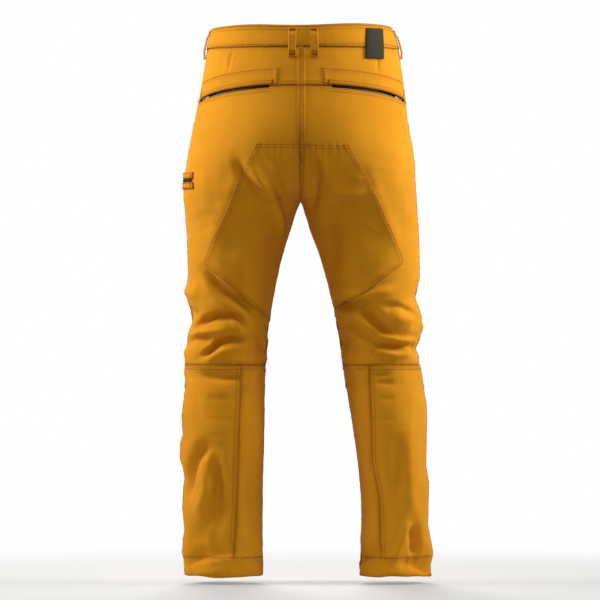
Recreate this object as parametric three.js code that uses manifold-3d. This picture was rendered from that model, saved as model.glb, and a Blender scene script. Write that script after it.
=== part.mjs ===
// A pair of men's outdoor trousers, standing open as they are worn, in millimetres.
// +Z is up, the front faces -Y and the wearer's left is +X. The origin is the middle of the waist opening.
// Every cloth panel lies on one skin: the left and the right half of the trousers are each a stack of
// ellipses, which the middle plane cuts off above the crotch and which are whole below it.
import * as THREE from "three";
import { mergeVertices } from "three/addons/utils/BufferGeometryUtils.js";
import Module from "manifold-3d";

const wasm = await Module();
wasm.setup();

const LEFT = 1;
const RIGHT = -1;
const sides = { left: LEFT, right: RIGHT };

// ---- Lengths, from the waist down
const waistbandHeight = 42;
const yokeDepth = 116; // waist to the yoke seam at the middle of the back
const seatDepth = 190; // waist to the fullest part of the seat
const rise = 330; // waist to crotch
const thighLength = 314; // crotch to the seam behind the knee
const shinLength = 403; // that seam to the hem's edge
const hemHeight = 38;
const kneePanelHeight = 190; // the shaped panel over the front of the knee
const kneePanelDrop = 46; // how far that panel reaches below the seam behind the knee
const kneeSlack = 130; // the cloth that gathers above the seam behind the knee

// ---- Cloth and gaps
const cloth = 1.2; // twill with its seam allowance
const seamGap = 1.2; // between two panels that meet edge to edge
const layerGap = 0.9; // between two layers of cloth that share their folds
const looseGap = 4.2; // between a panel and a layer laid on it or hung behind it
const middleGap = 0.7; // from the middle plane to each half

// ---- Zips
const toothHeight = 1.6; // across the tape, each row
const toothGap = 0.8; // half the slot between the rows, which the slider's post runs in
const toothThick = 1.8;
const tapeThick = 0.7;
const tapeWidth = 9; // from the teeth outwards, each side
const sliderHalfWidth = 3.4;
const sliderLength = 9;
const sliderPlate = 0.9;
const runClearance = 0.35; // between slider and teeth
const stopLength = 3;
const stopProud = 0.3; // how far a stop stands above and below the teeth
const sliderStart = 0.6; // from the first stop to a closed slider
const slotHalfHeight = 5.2; // half the opening that a pocket zip shows in
const pullLength = 20;
const pullWidth = 4.6;
const pullThick = 1.1;

// ---- Levels
const waist = 0;
const bandSeam = -waistbandHeight;
const crotch = -rise;
const knee = crotch - thighLength;
const hem = knee - shinLength;
const hemSeam = hem + hemHeight;
const kneeTop = knee + kneeSlack; // bottom of the rigid part of the back panel
const kneePanelBottom = knee - kneePanelDrop;
const kneePanelTop = kneePanelBottom + kneePanelHeight;

// ---- Sections of the skin. outer and inner are distances from the middle plane for [left, right]; above the
// crotch inner is negative, the far side of an ellipse that the middle plane cuts off.
const sections = [
  { z: waist, outer: [168, 173], inner: [-168, -173], front: -116, back: 110 },
  { z: bandSeam, outer: [178, 187], inner: [-178, -187], front: -119, back: 118 },
  { z: -yokeDepth, outer: [190, 198], inner: [-190, -198], front: -121, back: 136 },
  { z: -seatDepth, outer: [204, 206], inner: [-150, -150], front: -120, back: 150 },
  { z: crotch + 80, outer: [215, 216], inner: [-82, -82], front: -116, back: 149 },
  { z: crotch + 30, outer: [222, 219], inner: [-24, -24], front: -110, back: 136 },
  { z: crotch, outer: [222, 221], inner: [0, 0], front: -106, back: 124 },
  { z: crotch - 57, outer: [217, 225], inner: [20, 19], front: -101, back: 104 },
  { z: crotch - 120, outer: [215, 227], inner: [39, 42], front: -96, back: 93 },
  { z: knee + 84, outer: [212, 227], inner: [60, 69], front: -84, back: 79 },
  { z: knee, outer: [219, 228], inner: [67, 81], front: -76, back: 72 },
  { z: knee - 126, outer: [223, 239], inner: [70, 101], front: -66, back: 82 },
  { z: hem + 147, outer: [222, 245], inner: [73, 116], front: -62, back: 72 },
  { z: hem, outer: [220, 248], inner: [72, 113], front: -62, back: 66 },
];

// A smooth curve through one measure of the sections, as a function of the height z.
function alongHeight(measure) {
  const zs = sections.map((s) => s.z);
  const vs = sections.map(measure);
  const last = zs.length - 1;
  const slope = zs.map((z, i) => {
    const a = Math.max(0, i - 1);
    const b = Math.min(last, i + 1);
    return (vs[b] - vs[a]) / (zs[b] - zs[a]);
  });
  return (z) => {
    let i = 0;
    while (i < last - 1 && z < zs[i + 1]) i += 1;
    const h = zs[i + 1] - zs[i];
    const w = THREE.MathUtils.clamp((z - zs[i]) / h, 0, 1);
    const w2 = w * w;
    const w3 = w2 * w;
    return (
      (2 * w3 - 3 * w2 + 1) * vs[i] +
      (w3 - 2 * w2 + w) * h * slope[i] +
      (3 * w2 - 2 * w3) * vs[i + 1] +
      (w3 - w2) * h * slope[i + 1]
    );
  };
}

const outerOf = { 1: alongHeight((s) => s.outer[0]), [-1]: alongHeight((s) => s.outer[1]) };
const innerOf = { 1: alongHeight((s) => s.inner[0]), [-1]: alongHeight((s) => s.inner[1]) };
const frontOf = alongHeight((s) => s.front);
const backOf = alongHeight((s) => s.back);

// One half's ellipse at a height: centre, half width, half depth and the angle where the middle plane cuts it.
function ellipse(side, z) {
  const outer = outerOf[side](z);
  const inner = innerOf[side](z);
  const cx = (outer + inner) / 2;
  const a = (outer - inner) / 2;
  const cy = (frontOf(z) + backOf(z)) / 2;
  const b = (backOf(z) - frontOf(z)) / 2;
  const cut = Math.acos(-Math.min(1, cx / a));
  return { cx, cy, a, b, cut };
}

// A point of the skin. t runs from 0 at the front seam or inseam, by 0.5 at the side seam, to 1 at the back.
function skinPoint(side, t, z) {
  const e = ellipse(side, z);
  const angle = e.cut * (1 - 2 * t);
  return new THREE.Vector3(
    side * (e.cx + e.a * Math.cos(angle)),
    e.cy - e.b * Math.sin(angle),
    z,
  );
}

function skinNormal(side, t, z) {
  const dt = 1e-3;
  const dz = 0.5;
  const across = skinPoint(side, t + dt, z).sub(skinPoint(side, t - dt, z));
  const up = skinPoint(side, t, z + dz).sub(skinPoint(side, t, z - dz));
  return across.cross(up).multiplyScalar(side).normalize();
}

// The skin pushed out by off. Each half stays on its own side of the middle plane, unless the piece crosses it.
function skin(side, t, z, off, crosses = false) {
  const n = skinNormal(side, t, z);
  n.z = 0; // a piece keeps its top and bottom edges level
  n.normalize();
  const p = skinPoint(side, t, z).addScaledVector(n, off);
  if (!crosses) p.x = side * Math.max(middleGap, side * p.x);
  return p;
}

// The t of the skin at a distance x from the middle plane, on the front or on the back.
function tAt(side, x, z, back) {
  const e = ellipse(side, z);
  const angle = Math.acos(THREE.MathUtils.clamp((x - e.cx) / e.a, -1, 1));
  return (1 - (back ? -angle : angle) / e.cut) / 2;
}

// The length of the skin across one unit of t, which turns a gap in millimetres into a gap in t.
function tPerMm(side, t, z) {
  const step = 0.01;
  return step / skinPoint(side, t, z).distanceTo(skinPoint(side, t + (t < 0.5 ? step : -step), z));
}

// ---- Solids
function geometryOf(points, faces) {
  const g = new THREE.BufferGeometry();
  g.setAttribute("position", new THREE.Float32BufferAttribute(points.flatMap((p) => p.toArray()), 3));
  g.setIndex(faces.flat());
  return faceOut(g);
}

// Turns a closed mesh's faces round if they point inwards.
function faceOut(g) {
  const p = g.getAttribute("position");
  const ix = g.index.array;
  const v = [new THREE.Vector3(), new THREE.Vector3(), new THREE.Vector3()];
  let volume = 0;
  for (let i = 0; i < ix.length; i += 3) {
    v.forEach((q, k) => q.fromBufferAttribute(p, ix[i + k]));
    volume += v[0].dot(v[1].clone().cross(v[2]));
  }
  if (volume < 0) for (let i = 0; i < ix.length; i += 3) [ix[i + 1], ix[i + 2]] = [ix[i + 2], ix[i + 1]];
  return g;
}

// A closed block of cols by rows cells: place(u, v, w) gives its points, with w 0 on one face and 1 on the other.
function block(cols, rows, place) {
  const points = [];
  const row = cols + 1;
  const layer = row * (rows + 1);
  for (let w = 0; w < 2; w += 1)
    for (let j = 0; j <= rows; j += 1)
      for (let i = 0; i <= cols; i += 1) points.push(place(i / cols, j / rows, w));
  const faces = [];
  const quad = (a, b, c, d) => faces.push([a, b, c], [a, c, d]);
  for (let j = 0; j < rows; j += 1)
    for (let i = 0; i < cols; i += 1) {
      const a = j * row + i;
      quad(a, a + 1, a + 1 + row, a + row);
      quad(layer + a, layer + a + row, layer + a + 1 + row, layer + a + 1);
    }
  for (let i = 0; i < cols; i += 1) {
    quad(i + 1, i, layer + i, layer + i + 1);
    const b = rows * row + i;
    quad(b, b + 1, layer + b + 1, layer + b);
  }
  for (let j = 0; j < rows; j += 1) {
    const a = j * row;
    quad(a, a + row, layer + a + row, layer + a);
    const b = a + cols;
    quad(b + row, b, layer + b, layer + b + row);
  }
  return geometryOf(points, faces);
}

function solid(g) {
  const bare = g.clone();
  ["normal", "uv"].forEach((name) => bare.deleteAttribute(name));
  const merged = mergeVertices(bare, 1e-4);
  return new wasm.Manifold(
    new wasm.Mesh({
      numProp: 3,
      vertProperties: merged.getAttribute("position").array,
      triVerts: new Uint32Array(merged.index.array),
    }),
  );
}

function geometryFrom(made) {
  const m = made.getMesh();
  const g = new THREE.BufferGeometry();
  g.setAttribute("position", new THREE.BufferAttribute(new Float32Array(m.vertProperties), 3));
  g.setIndex(new THREE.BufferAttribute(new Uint32Array(m.triVerts), 1));
  return g;
}

const joined = (pieces) => geometryFrom(pieces.map(solid).reduce((a, b) => a.add(b)));

// ---- Materials
const material = (color, roughness, metalness = 0) =>
  new THREE.MeshStandardMaterial({ color, roughness, metalness });
const twill = material(0xd98c12, 0.85);
const lining = material(0xc9a35a, 0.9);
const leather = material(0x2f2c1c, 0.6);
const zipTape = material(0x23231c, 0.8);
const metal = material(0x6b675a, 0.35, 0.9);

const trousers = new THREE.Group();
function add(name, geometry, look) {
  const mesh = new THREE.Mesh(geometry, look);
  mesh.name = name;
  trousers.add(mesh);
}

// ---- The yoke seam and the back pockets: their line lies in one plane that drops towards the sides.
const yokeTilt = 0.26; // fall in z for each millimetre forward
const yokeLine = (side, t) => {
  let z = -yokeDepth;
  for (let k = 0; k < 8; k += 1)
    z = -yokeDepth + yokeTilt * (skinPoint(side, t, z).y - skinPoint(side, 1, -yokeDepth).y);
  return z;
};
const pocketInner = 56; // from the middle plane to the pocket's inner end
const pocketSideT = 0.555; // t of the pocket's outer end, just behind the side seam
const pocketInnerT = Object.fromEntries(
  Object.values(sides).map((side) => [side, tAt(side, pocketInner, -yokeDepth, true)]),
);

// ---- Zip tracks. A track turns (distance along, lift above its line, distance across) into a point.
function arcTrack(first, middle, last) {
  const ab = middle.clone().sub(first);
  const ac = last.clone().sub(first);
  const axis = ab.clone().cross(ac);
  const toCentre = axis
    .clone()
    .cross(ab)
    .multiplyScalar(ac.lengthSq())
    .add(ac.clone().cross(axis).multiplyScalar(ab.lengthSq()))
    .divideScalar(2 * axis.lengthSq());
  const centre = first.clone().add(toCentre);
  const radius = toCentre.length();
  axis.normalize();
  const start = first.clone().sub(centre).normalize();
  const length = radius * start.angleTo(last.clone().sub(centre));
  return {
    centre,
    axis,
    radius,
    length,
    at: (s, lift, across) =>
      start
        .clone()
        .applyAxisAngle(axis, s / radius)
        .multiplyScalar(radius + lift)
        .add(centre)
        .addScaledVector(axis, across),
  };
}

function straightTrack(first, last, outward) {
  const along = last.clone().sub(first);
  const length = along.length();
  along.normalize();
  const across = along.clone().cross(outward).normalize();
  const up = across.clone().cross(along).normalize();
  return {
    length,
    along,
    at: (s, lift, side) =>
      first
        .clone()
        .addScaledVector(along, s)
        .addScaledVector(up, lift)
        .addScaledVector(across, side),
  };
}

// A bar that follows a track from s0 to s1, between two lifts and two distances across.
const bar = (track, steps, s0, s1, lift0, lift1, across0, across1) =>
  block(steps, 1, (u, v, w) =>
    track.at(s0 + (s1 - s0) * u, lift0 + (lift1 - lift0) * w, across0 + (across1 - across0) * v),
  );

// Both tapes with their rows of teeth, joined by a stop at each end. The line of the track is the teeth's middle.
function zipTapes(track, steps) {
  const half = toothThick / 2;
  const rows = [1, -1].flatMap((way) => [
    bar(track, steps, 0, track.length, -half, half, way * toothGap, way * (toothGap + toothHeight)),
    bar(track, steps, 0, track.length, -tapeThick / 2, tapeThick / 2,
      way * (toothGap + toothHeight / 2), way * (toothGap + toothHeight + tapeWidth)),
  ]);
  const across = toothGap + toothHeight;
  const stops = [0, track.length - stopLength].map((s) =>
    bar(track, 2, s, s + stopLength, -half - stopProud, half + stopProud, -across, across),
  );
  return joined([...rows, ...stops]);
}

// The slider starts at s and covers sliderLength. Its post runs between the rows of teeth.
const sliderTop = toothThick / 2 + runClearance + sliderPlate;
const bridgeRise = 2.6;
const bridgeHalf = 0.6;
const bridgeBar = 0.7;
const bridgeReach = 3.2; // half the bridge's length
const bridgeLeg = 0.8; // along the track
const postLength = 3;
const sink = 0.2; // how far one part of a casting runs into the next
function zipSlider(track, s) {
  const low = toothThick / 2 + runClearance;
  const mid = s + sliderLength / 2;
  const postHalf = toothGap - runClearance;
  const top = sliderTop + bridgeRise;
  return joined([
    bar(track, 3, s, s + sliderLength, low, sliderTop, -sliderHalfWidth, sliderHalfWidth),
    bar(track, 3, s, s + sliderLength, -low, -sliderTop, -sliderHalfWidth, sliderHalfWidth),
    bar(track, 1, mid - postLength / 2, mid + postLength / 2, -low - sink, low + sink, -postHalf, postHalf),
    bar(track, 1, mid - bridgeReach, mid - bridgeReach + bridgeLeg, sliderTop - sink, top, -bridgeHalf, bridgeHalf),
    bar(track, 1, mid + bridgeReach - bridgeLeg, mid + bridgeReach, sliderTop - sink, top, -bridgeHalf, bridgeHalf),
    bar(track, 2, mid - bridgeReach, mid + bridgeReach, top - bridgeBar, top, -bridgeHalf, bridgeHalf),
  ]);
}

// The pull hangs on a crossbar inside the slider's bridge and lies along the track, towards way.
const pullClear = { below: 0.45, beside: 0.4 }; // to the slider's plate and to its bridge
const pullArm = 0.9; // width of each arm
const pullEye = 4.4; // from the crossbar to the plate, round the bridge's end
const crossbar = 0.5; // half its length along the track
function zipPull(track, s, way) {
  const mid = s + sliderLength / 2;
  const low = sliderTop + pullClear.below;
  const high = low + pullThick;
  const arm = bridgeHalf + pullClear.beside;
  const outside = arm + pullArm;
  const plateStart = mid + way * pullEye;
  const end = mid + way * pullLength;
  return joined([
    bar(track, 1, mid - crossbar, mid + crossbar, low, high, -outside, outside),
    bar(track, 2, mid - way * crossbar, plateStart + way * crossbar, low, high, arm, outside),
    bar(track, 2, mid - way * crossbar, plateStart + way * crossbar, low, high, -outside, -arm),
    bar(track, 4, plateStart, end, low, high, -pullWidth / 2, pullWidth / 2),
  ]);
}

function addZip(name, track, steps, s, pullWay) {
  add(`${name}_zip`, zipTapes(track, steps), zipTape);
  add(`${name}_zip_slider`, zipSlider(track, s), metal);
  add(`${name}_zip_pull`, zipPull(track, s, pullWay), metal);
}

// ---- Waistband: an outer strip and a facing, both open at the front under the tab
const flyEdge = 38; // from the middle plane to the line where the fly folds
const underlap = 34; // how far the right end of the waistband reaches under the tab
const hoop = (s) => (s < 0.5 ? { side: LEFT, t: 2 * s } : { side: RIGHT, t: 2 - 2 * s });
const hoopStart = tAt(LEFT, flyEdge + seamGap, bandSeam, false) / 2;
const underlapT = tAt(LEFT, underlap, bandSeam, false) / 2;
const hoopSteps = 44;
const hoopAt = (s, z, off) => {
  const wrapped = s > 1 ? s - 1 : s;
  const at = hoop(wrapped);
  return skin(at.side, at.t, z, off, true);
};
const band = (low, high, bottom, top) =>
  block(hoopSteps, 1, (u, v, w) =>
    hoopAt(hoopStart + (1 + underlapT - hoopStart) * u, bottom + (top - bottom) * v, low + (high - low) * w),
  );
add("waistband_outer", band(0, cloth, bandSeam + seamGap / 2, waist), twill);
add("waistband_facing", band(-layerGap - cloth, -layerGap, bandSeam + seamGap / 2, waist), lining);

// ---- Panels between two levels, from t0 to t1, with gaps to their neighbours
function clothPanel(side, cols, rows, t0, t1, top, bottom, low = 0, high = cloth) {
  const value = (f, x) => (typeof f === "function" ? f(x) : f);
  return block(cols, rows, (u, v, w) => {
    const guess = value(t0, kneeTop) + (value(t1, kneeTop) - value(t0, kneeTop)) * u;
    const z0 = value(top, guess);
    const z = z0 + (value(bottom, guess) - z0) * v;
    const t = value(t0, z) + (value(t1, z) - value(t0, z)) * u;
    return skin(side, t, z, low + (high - low) * w);
  });
}

const half = seamGap / 2;
const edgeT = (side, t, gap = half) => (z) => t + (t < 0.5 || gap < 0 ? 1 : -1) * Math.abs(gap) * tPerMm(side, t, z);
const atInseamFront = (side) => edgeT(side, 0);
const atInseamBack = (side) => edgeT(side, 1);
const sideT = 0.5;
const beforeSide = (side) => (z) => sideT - half * tPerMm(side, sideT, z);
const behindSide = (side) => (z) => sideT + half * tPerMm(side, sideT, z);

// Front pockets: a slanted mouth from the waistband to the side seam
const pocketMouthX = 112; // where the mouth meets the waistband, from the middle plane
const pocketMouthDepth = 148; // from the waistband seam to its lower end on the side seam
const mouthBottom = bandSeam - pocketMouthDepth;
const mouthT = (side) => (z) => {
  const top = tAt(side, pocketMouthX, bandSeam, false);
  const w = THREE.MathUtils.clamp((bandSeam - z) / pocketMouthDepth, 0, 1);
  return Math.min(top + (sideT - top) * w, beforeSide(side)(z));
};

const facingDepth = -looseGap; // the cloth seen inside the mouth
const frontBagDepth = facingDepth - cloth - looseGap;
const frontBagDrop = 110; // how far the bag hangs below the mouth
const bagThick = 2 * cloth; // two layers of lining
const facingOverMouth = 0.06; // in t, how far the facing reaches forward of the mouth
const facingBelowMouth = 12;
const bagOverMouth = 0.2; // in t, how far the bag reaches forward of the mouth
const bagFrontT = 0.12; // the bag's front edge, at the furthest

// The fly: the left front stops at the fold line, the right front reaches a little way under the flap
const flyDepth = 172; // from the waistband seam to the lower end of the flap
const flyBottom = bandSeam - flyDepth;
const rightFrontEdge = 2;
const flapCorner = 34; // height over which the fold line curves in to the middle
const foldEnd = 3; // from the middle plane to the fold line's lower end
const foldAt = (z) => {
  const down = THREE.MathUtils.clamp((flyBottom + flapCorner - z) / flapCorner, 0, 1);
  return foldEnd + (flyEdge - foldEnd) * Math.sqrt(1 - down * down);
};
const frontStart = {
  [LEFT]: (z) =>
    z > flyBottom - half ? tAt(LEFT, foldAt(z) + half, z, false) : atInseamFront(LEFT)(z),
  [RIGHT]: (z) =>
    z > flyBottom - half ? tAt(RIGHT, rightFrontEdge, z, false) : atInseamFront(RIGHT)(z),
};

const foldLevels = [1, 0.7, 0.45, 0.2, 0.05].map((share) => flyBottom + flapCorner * share);

function frontPanel(side) {
  const levels = [
    bandSeam - half, bandSeam - 50, bandSeam - 100, ...foldLevels, mouthBottom - 9, flyBottom - half - 0.1,
    crotch + 60, crotch + 20, crotch, crotch - 30, crotch - 70, crotch - 110, kneePanelTop + half,
  ];
  return block(12, levels.length - 1, (u, v, w) => {
    const z = levels[Math.round(v * (levels.length - 1))];
    const t0 = frontStart[side](z);
    return skin(side, t0 + (mouthT(side)(z) - t0) * u, z, cloth * w);
  });
}

const slotTop = (side) => (t) => yokeLine(side, t) + (inPocket(side, t) ? slotHalfHeight : half);
const slotBottom = (side) => (t) => yokeLine(side, t) - (inPocket(side, t) ? slotHalfHeight : half);
const inPocket = (side, t) => t > pocketSideT && t < pocketInnerT[side];

// count + 1 even steps from a to b
const spread = (a, b, count) => Array.from({ length: count + 1 }, (_, k) => a + ((b - a) * k) / count);
const rowHeight = 25; // of the grid, where one layer of cloth lies close over another
const levelsTo = (top, bottom) => spread(top, bottom, Math.ceil((top - bottom) / rowHeight));

// Columns of the yoke and the back panel, with a step at each end of the pocket's slot
function backColumns(side) {
  const inner = pocketInnerT[side];
  const tick = 0.0015;
  const inside = spread(pocketSideT, inner, 8).slice(1, -1);
  const ends = [pocketSideT - tick, pocketSideT + tick, ...inside, inner - tick, inner + tick];
  const beyond = spread(inner, 1, 4).slice(1, -1);
  return (z) => [behindSide(side)(z), ...ends, ...beyond, atInseamBack(side)(z)];
}

function yoke(side) {
  const columns = backColumns(side);
  const count = columns(bandSeam).length - 1;
  return block(count, 2, (u, v, w) => {
    const at = (z) => columns(z)[Math.round(u * count)];
    const bottom = slotTop(side)(at(-yokeDepth));
    const z = bandSeam - half + (bottom - bandSeam + half) * v;
    return skin(side, at(z), z, cloth * w);
  });
}

function backPanel(side) {
  const columns = backColumns(side);
  const count = columns(bandSeam).length - 1;
  const levels = levelsTo(-yokeDepth - 2 * rowHeight, kneeTop + half);
  return block(count, levels.length, (u, v, w) => {
    const j = Math.round(v * levels.length);
    const top = slotBottom(side)(columns(-yokeDepth)[Math.round(u * count)]);
    const z = j === 0 ? top : levels[j - 1];
    return skin(side, columns(z)[Math.round(u * count)], z, cloth * w);
  });
}

// The patch over the seat and the inner thigh: six-sided over both legs, half of it on each
const patchTopDepth = 226; // waist to its upper edge
const patchTopHalf = 82; // half its upper edge
const patchCornerDrop = 120; // crotch to its outer corner
const patchCornerReach = 0.645; // the outer corner, as a share of the leg's half width from its middle
const patchTipDrop = 219; // crotch to its lower tip on the inseam
const patchLift = cloth + looseGap + layerGap;
const patchInset = 9; // from the middle seam and the inseam to the patch's edge
const patchClear = patchLift + cloth + middleGap + layerGap; // room between the two halves of the patch at the crotch
const patchCorner = crotch - patchCornerDrop;
const patchTip = crotch - patchTipDrop;
function patchEdgeT(side, z) {
  const corner = ellipse(side, patchCorner);
  const tip = ellipse(side, patchTip);
  const cornerX = corner.cx + patchCornerReach * corner.a;
  const tipX = tip.cx - 0.9 * tip.a;
  const x = z > patchCorner
    ? THREE.MathUtils.mapLinear(z, -patchTopDepth, patchCorner, patchTopHalf, cornerX)
    : THREE.MathUtils.mapLinear(z, patchCorner, patchTip, cornerX, tipX);
  return tAt(side, x, z, true);
}
function seatPatch(side) {
  const levels = [...levelsTo(-patchTopDepth, patchCorner), ...levelsTo(patchCorner, patchTip).slice(1)];
  return block(10, levels.length - 1, (u, v, w) => {
    const z = levels[Math.round(v * (levels.length - 1))];
    const t0 = patchEdgeT(side, z);
    const t1 = Math.min(1 - patchInset * tPerMm(side, 1, z), tAt(side, patchClear, z, true));
    return skin(side, t0 + (t1 - t0) * u, z, patchLift + cloth * w);
  });
}

// Behind the knee an upright seam parts the calf from the inner calf panel: its t at the knee, mid calf and the hem
const calfSeam = { [LEFT]: [0.818, 0.812, 0.797], [RIGHT]: [0.801, 0.853, 0.822] };
const midCalf = (knee + hemSeam) / 2;
function calfSeamT(side, z) {
  const [high, middle, low] = calfSeam[side];
  return z > midCalf
    ? THREE.MathUtils.mapLinear(z, knee, midCalf, high, middle)
    : THREE.MathUtils.mapLinear(z, midCalf, hemSeam, middle, low);
}

for (const [word, side] of Object.entries(sides)) {
  add(`front_panel_${word}`, frontPanel(side), twill);
  add(`yoke_${word}`, yoke(side), twill);
  add(`back_panel_${word}`, backPanel(side), twill);
  add(`seat_patch_${word}`, seatPatch(side), twill);
  const start = atInseamFront(side);
  const end = atInseamBack(side);
  const front = beforeSide(side);
  const behind = behindSide(side);
  const calfGap = (z) => half * tPerMm(side, calfSeamT(side, z), z);
  const beforeCalfSeam = (z) => calfSeamT(side, z) - calfGap(z);
  const behindCalfSeam = (z) => calfSeamT(side, z) + calfGap(z);
  add(`knee_panel_${word}`,
    clothPanel(side, 10, 5, start, front, kneePanelTop - half, kneePanelBottom + half), twill);
  add(`knee_back_${word}`, clothPanel(side, 12, 6, behind, end, kneeTop - half, knee + half), twill);
  add(`shin_front_${word}`,
    clothPanel(side, 10, 6, start, front, kneePanelBottom - half, hemSeam + half), twill);
  add(`calf_back_${word}`, clothPanel(side, 6, 7, behind, beforeCalfSeam, knee - half, hemSeam + half), twill);
  add(`calf_inner_${word}`, clothPanel(side, 4, 7, behindCalfSeam, end, knee - half, hemSeam + half), twill);
  add(`hem_${word}`, clothPanel(side, 20, 1, start, end, hemSeam - half, hem), twill);
  const facingTop = (z) => mouthT(side)(z) - facingOverMouth;
  add(`front_pocket_facing_${word}`,
    clothPanel(side, 8, 8, facingTop, front, bandSeam - half, mouthBottom - facingBelowMouth,
      facingDepth - cloth, facingDepth), twill);
  const bagTop = (z) => Math.max(mouthT(side)(z) - bagOverMouth, bagFrontT);
  add(`front_pocket_bag_${word}`,
    clothPanel(side, 6, 7, bagTop, front, bandSeam - half, mouthBottom - frontBagDrop, frontBagDepth - bagThick,
      frontBagDepth), lining);
}

// ---- Back pockets
const welt = { height: 31, over: 12, top: cloth + layerGap };
const zipDepth = 5.4; // the teeth's middle line under the skin
const bagDepth = 165;
const zipInset = { outer: 0.012, inner: 0.006 }; // in t, from the pocket's ends to the zip's
const bagInset = 0.01; // in t, from the pocket's ends to the bag's
const bagBelowTape = 2.5;
for (const [word, side] of Object.entries(sides)) {
  const at = (t) => skin(side, t, yokeLine(side, t), -zipDepth);
  const middleT = (pocketSideT + pocketInnerT[side]) / 2;
  const track = arcTrack(
    at(pocketSideT + zipInset.outer), at(middleT), at(pocketInnerT[side] - zipInset.inner),
  );
  addZip(`back_pocket_${word}`, track, 8, stopLength + sliderStart, 1);
  const inner = pocketInnerT[side] + welt.over * tPerMm(side, pocketInnerT[side], -yokeDepth);
  const bottom = (t) => yokeLine(side, t) + slotHalfHeight;
  const top = (t) => bottom(t) + welt.height;
  add(`pocket_welt_${word}`,
    clothPanel(side, 9, 1, pocketSideT, inner, top, bottom, welt.top, welt.top + cloth), twill);
  const tapeEdge = toothGap + toothHeight + tapeWidth + bagBelowTape;
  add(`back_pocket_bag_${word}`,
    clothPanel(side, 9, 7, pocketSideT + bagInset, pocketInnerT[side] - bagInset,
      (t) => yokeLine(side, t) - tapeEdge, (t) => yokeLine(side, t) - bagDepth,
      -looseGap - bagThick, -looseGap), lining);
}

// ---- Pocket on the outside of the left thigh: a zip across the side, with a welt above and below it
const thighZipDepth = 294; // waist to the zip
const thighZipFront = 62; // how far the zip runs forward of the side seam
const thighZipBack = 62; // and behind it
const thighWeltHeight = 11;
const thighWeltOver = 6; // past each end of the zip
const thighBag = { over: 4, top: 14, bottom: 170 }; // past the zip's ends, and below its line
const thighZ = -thighZipDepth;
const thighT = (mm) => sideT + mm * tPerMm(LEFT, sideT, thighZ);
const thighLift = cloth + looseGap;
const thighAt = (mm) => skin(LEFT, thighT(mm), thighZ, thighLift);
const thighTrack = arcTrack(thighAt(-thighZipFront), thighAt(0), thighAt(thighZipBack));
addZip("thigh_pocket", thighTrack, 8, stopLength + sliderStart, 1);
const weltLift = thighLift + looseGap;
const weltEdge = 4.4; // from the zip's line to each welt's edge
const thighWelt = (way) =>
  clothPanel(LEFT, 8, 1, thighT(-thighZipFront - thighWeltOver), thighT(thighZipBack + thighWeltOver),
    thighZ + way * (weltEdge + thighWeltHeight), thighZ + way * weltEdge, weltLift, weltLift + cloth);
add("thigh_pocket_welt_upper", thighWelt(1), twill);
add("thigh_pocket_welt_lower", thighWelt(-1), twill);
add("thigh_pocket_bag",
  clothPanel(LEFT, 6, 4, thighT(-thighZipFront - thighBag.over), thighT(thighZipBack + thighBag.over),
    thighZ - thighBag.top, thighZ - thighBag.bottom, -looseGap - bagThick, -looseGap), lining);

// ---- Fly: flap, tab, shield, zip and press stud
const flapLift = cloth + layerGap;
const flapFree = 6; // how far the flap reaches past the middle
const tabFree = 22; // and the tab
const tabLift = flapLift + 2 * layerGap;
const frontAcross = (x, z, off) =>
  x >= 0 ? skin(LEFT, tAt(LEFT, x, z, false), z, off, true) : skin(RIGHT, tAt(RIGHT, -x, z, false), z, off, true);
const flapLevels = [bandSeam - half, bandSeam - 40, bandSeam - 90, ...foldLevels, flyBottom];
add("fly_flap",
  block(4, flapLevels.length - 1, (u, v, w) => {
    const z = flapLevels[Math.round(v * (flapLevels.length - 1))];
    return frontAcross(-flapFree + (foldAt(z) + flapFree) * u, z, flapLift + cloth * w);
  }), twill);
add("waistband_tab",
  block(5, 1, (u, v, w) =>
    frontAcross(-tabFree + (flyEdge + tabFree) * u, bandSeam + half + (waist - bandSeam - half) * v,
      tabLift + cloth * w)), twill);
const shield = { right: 10, left: 42, short: 8, back: -12.8 }; // its edges, its lower end and its lift
add("fly_shield",
  block(4, 5, (u, v, w) =>
    frontAcross(-shield.right + (shield.right + shield.left) * u,
      bandSeam - half + (flyBottom + shield.short - bandSeam + half) * v, shield.back - cloth * w)),
  twill);
const flyZipX = 12;
const flyZipBack = -7.2;
const flyZipTop = 4; // below the waistband seam
const flyZipShort = 22; // above the flap's lower end
const flyTrack = straightTrack(
  frontAcross(flyZipX, bandSeam - flyZipTop, flyZipBack),
  frontAcross(flyZipX, flyBottom + flyZipShort, flyZipBack),
  new THREE.Vector3(0, -1, 0),
);
addZip("fly", flyTrack, 1, stopLength + sliderStart, 1);

// The press stud: a cap with its socket on the tab, and a post on the end of the waistband under it
const studX = 6;
const studZ = bandSeam / 2;
const studGap = 0.7;
const stud = { cap: 7.5, capThick: 1.4, base: 5.5, baseThick: 0.6, post: 2 }; // radii and thicknesses
function disc(radius, low, high, steps) {
  const profile = [[0, low], [radius, low], [radius, high], [0, high]].map((p) => new THREE.Vector2(...p));
  const g = new THREE.LatheGeometry(profile, steps);
  g.rotateX(Math.PI);
  const base = frontAcross(studX, studZ, 0);
  return g.translate(base.x, base.y, base.z);
}
const tabFace = tabLift + cloth;
const postLow = cloth + studGap;
add("press_stud_cap", disc(stud.cap, tabFace + studGap, tabFace + studGap + stud.capThick, 20), metal);
add("press_stud_post",
  joined([
    disc(stud.base, postLow, postLow + stud.baseThick, 16),
    disc(stud.post, postLow, tabLift - studGap, 16),
  ]), metal);

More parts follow.
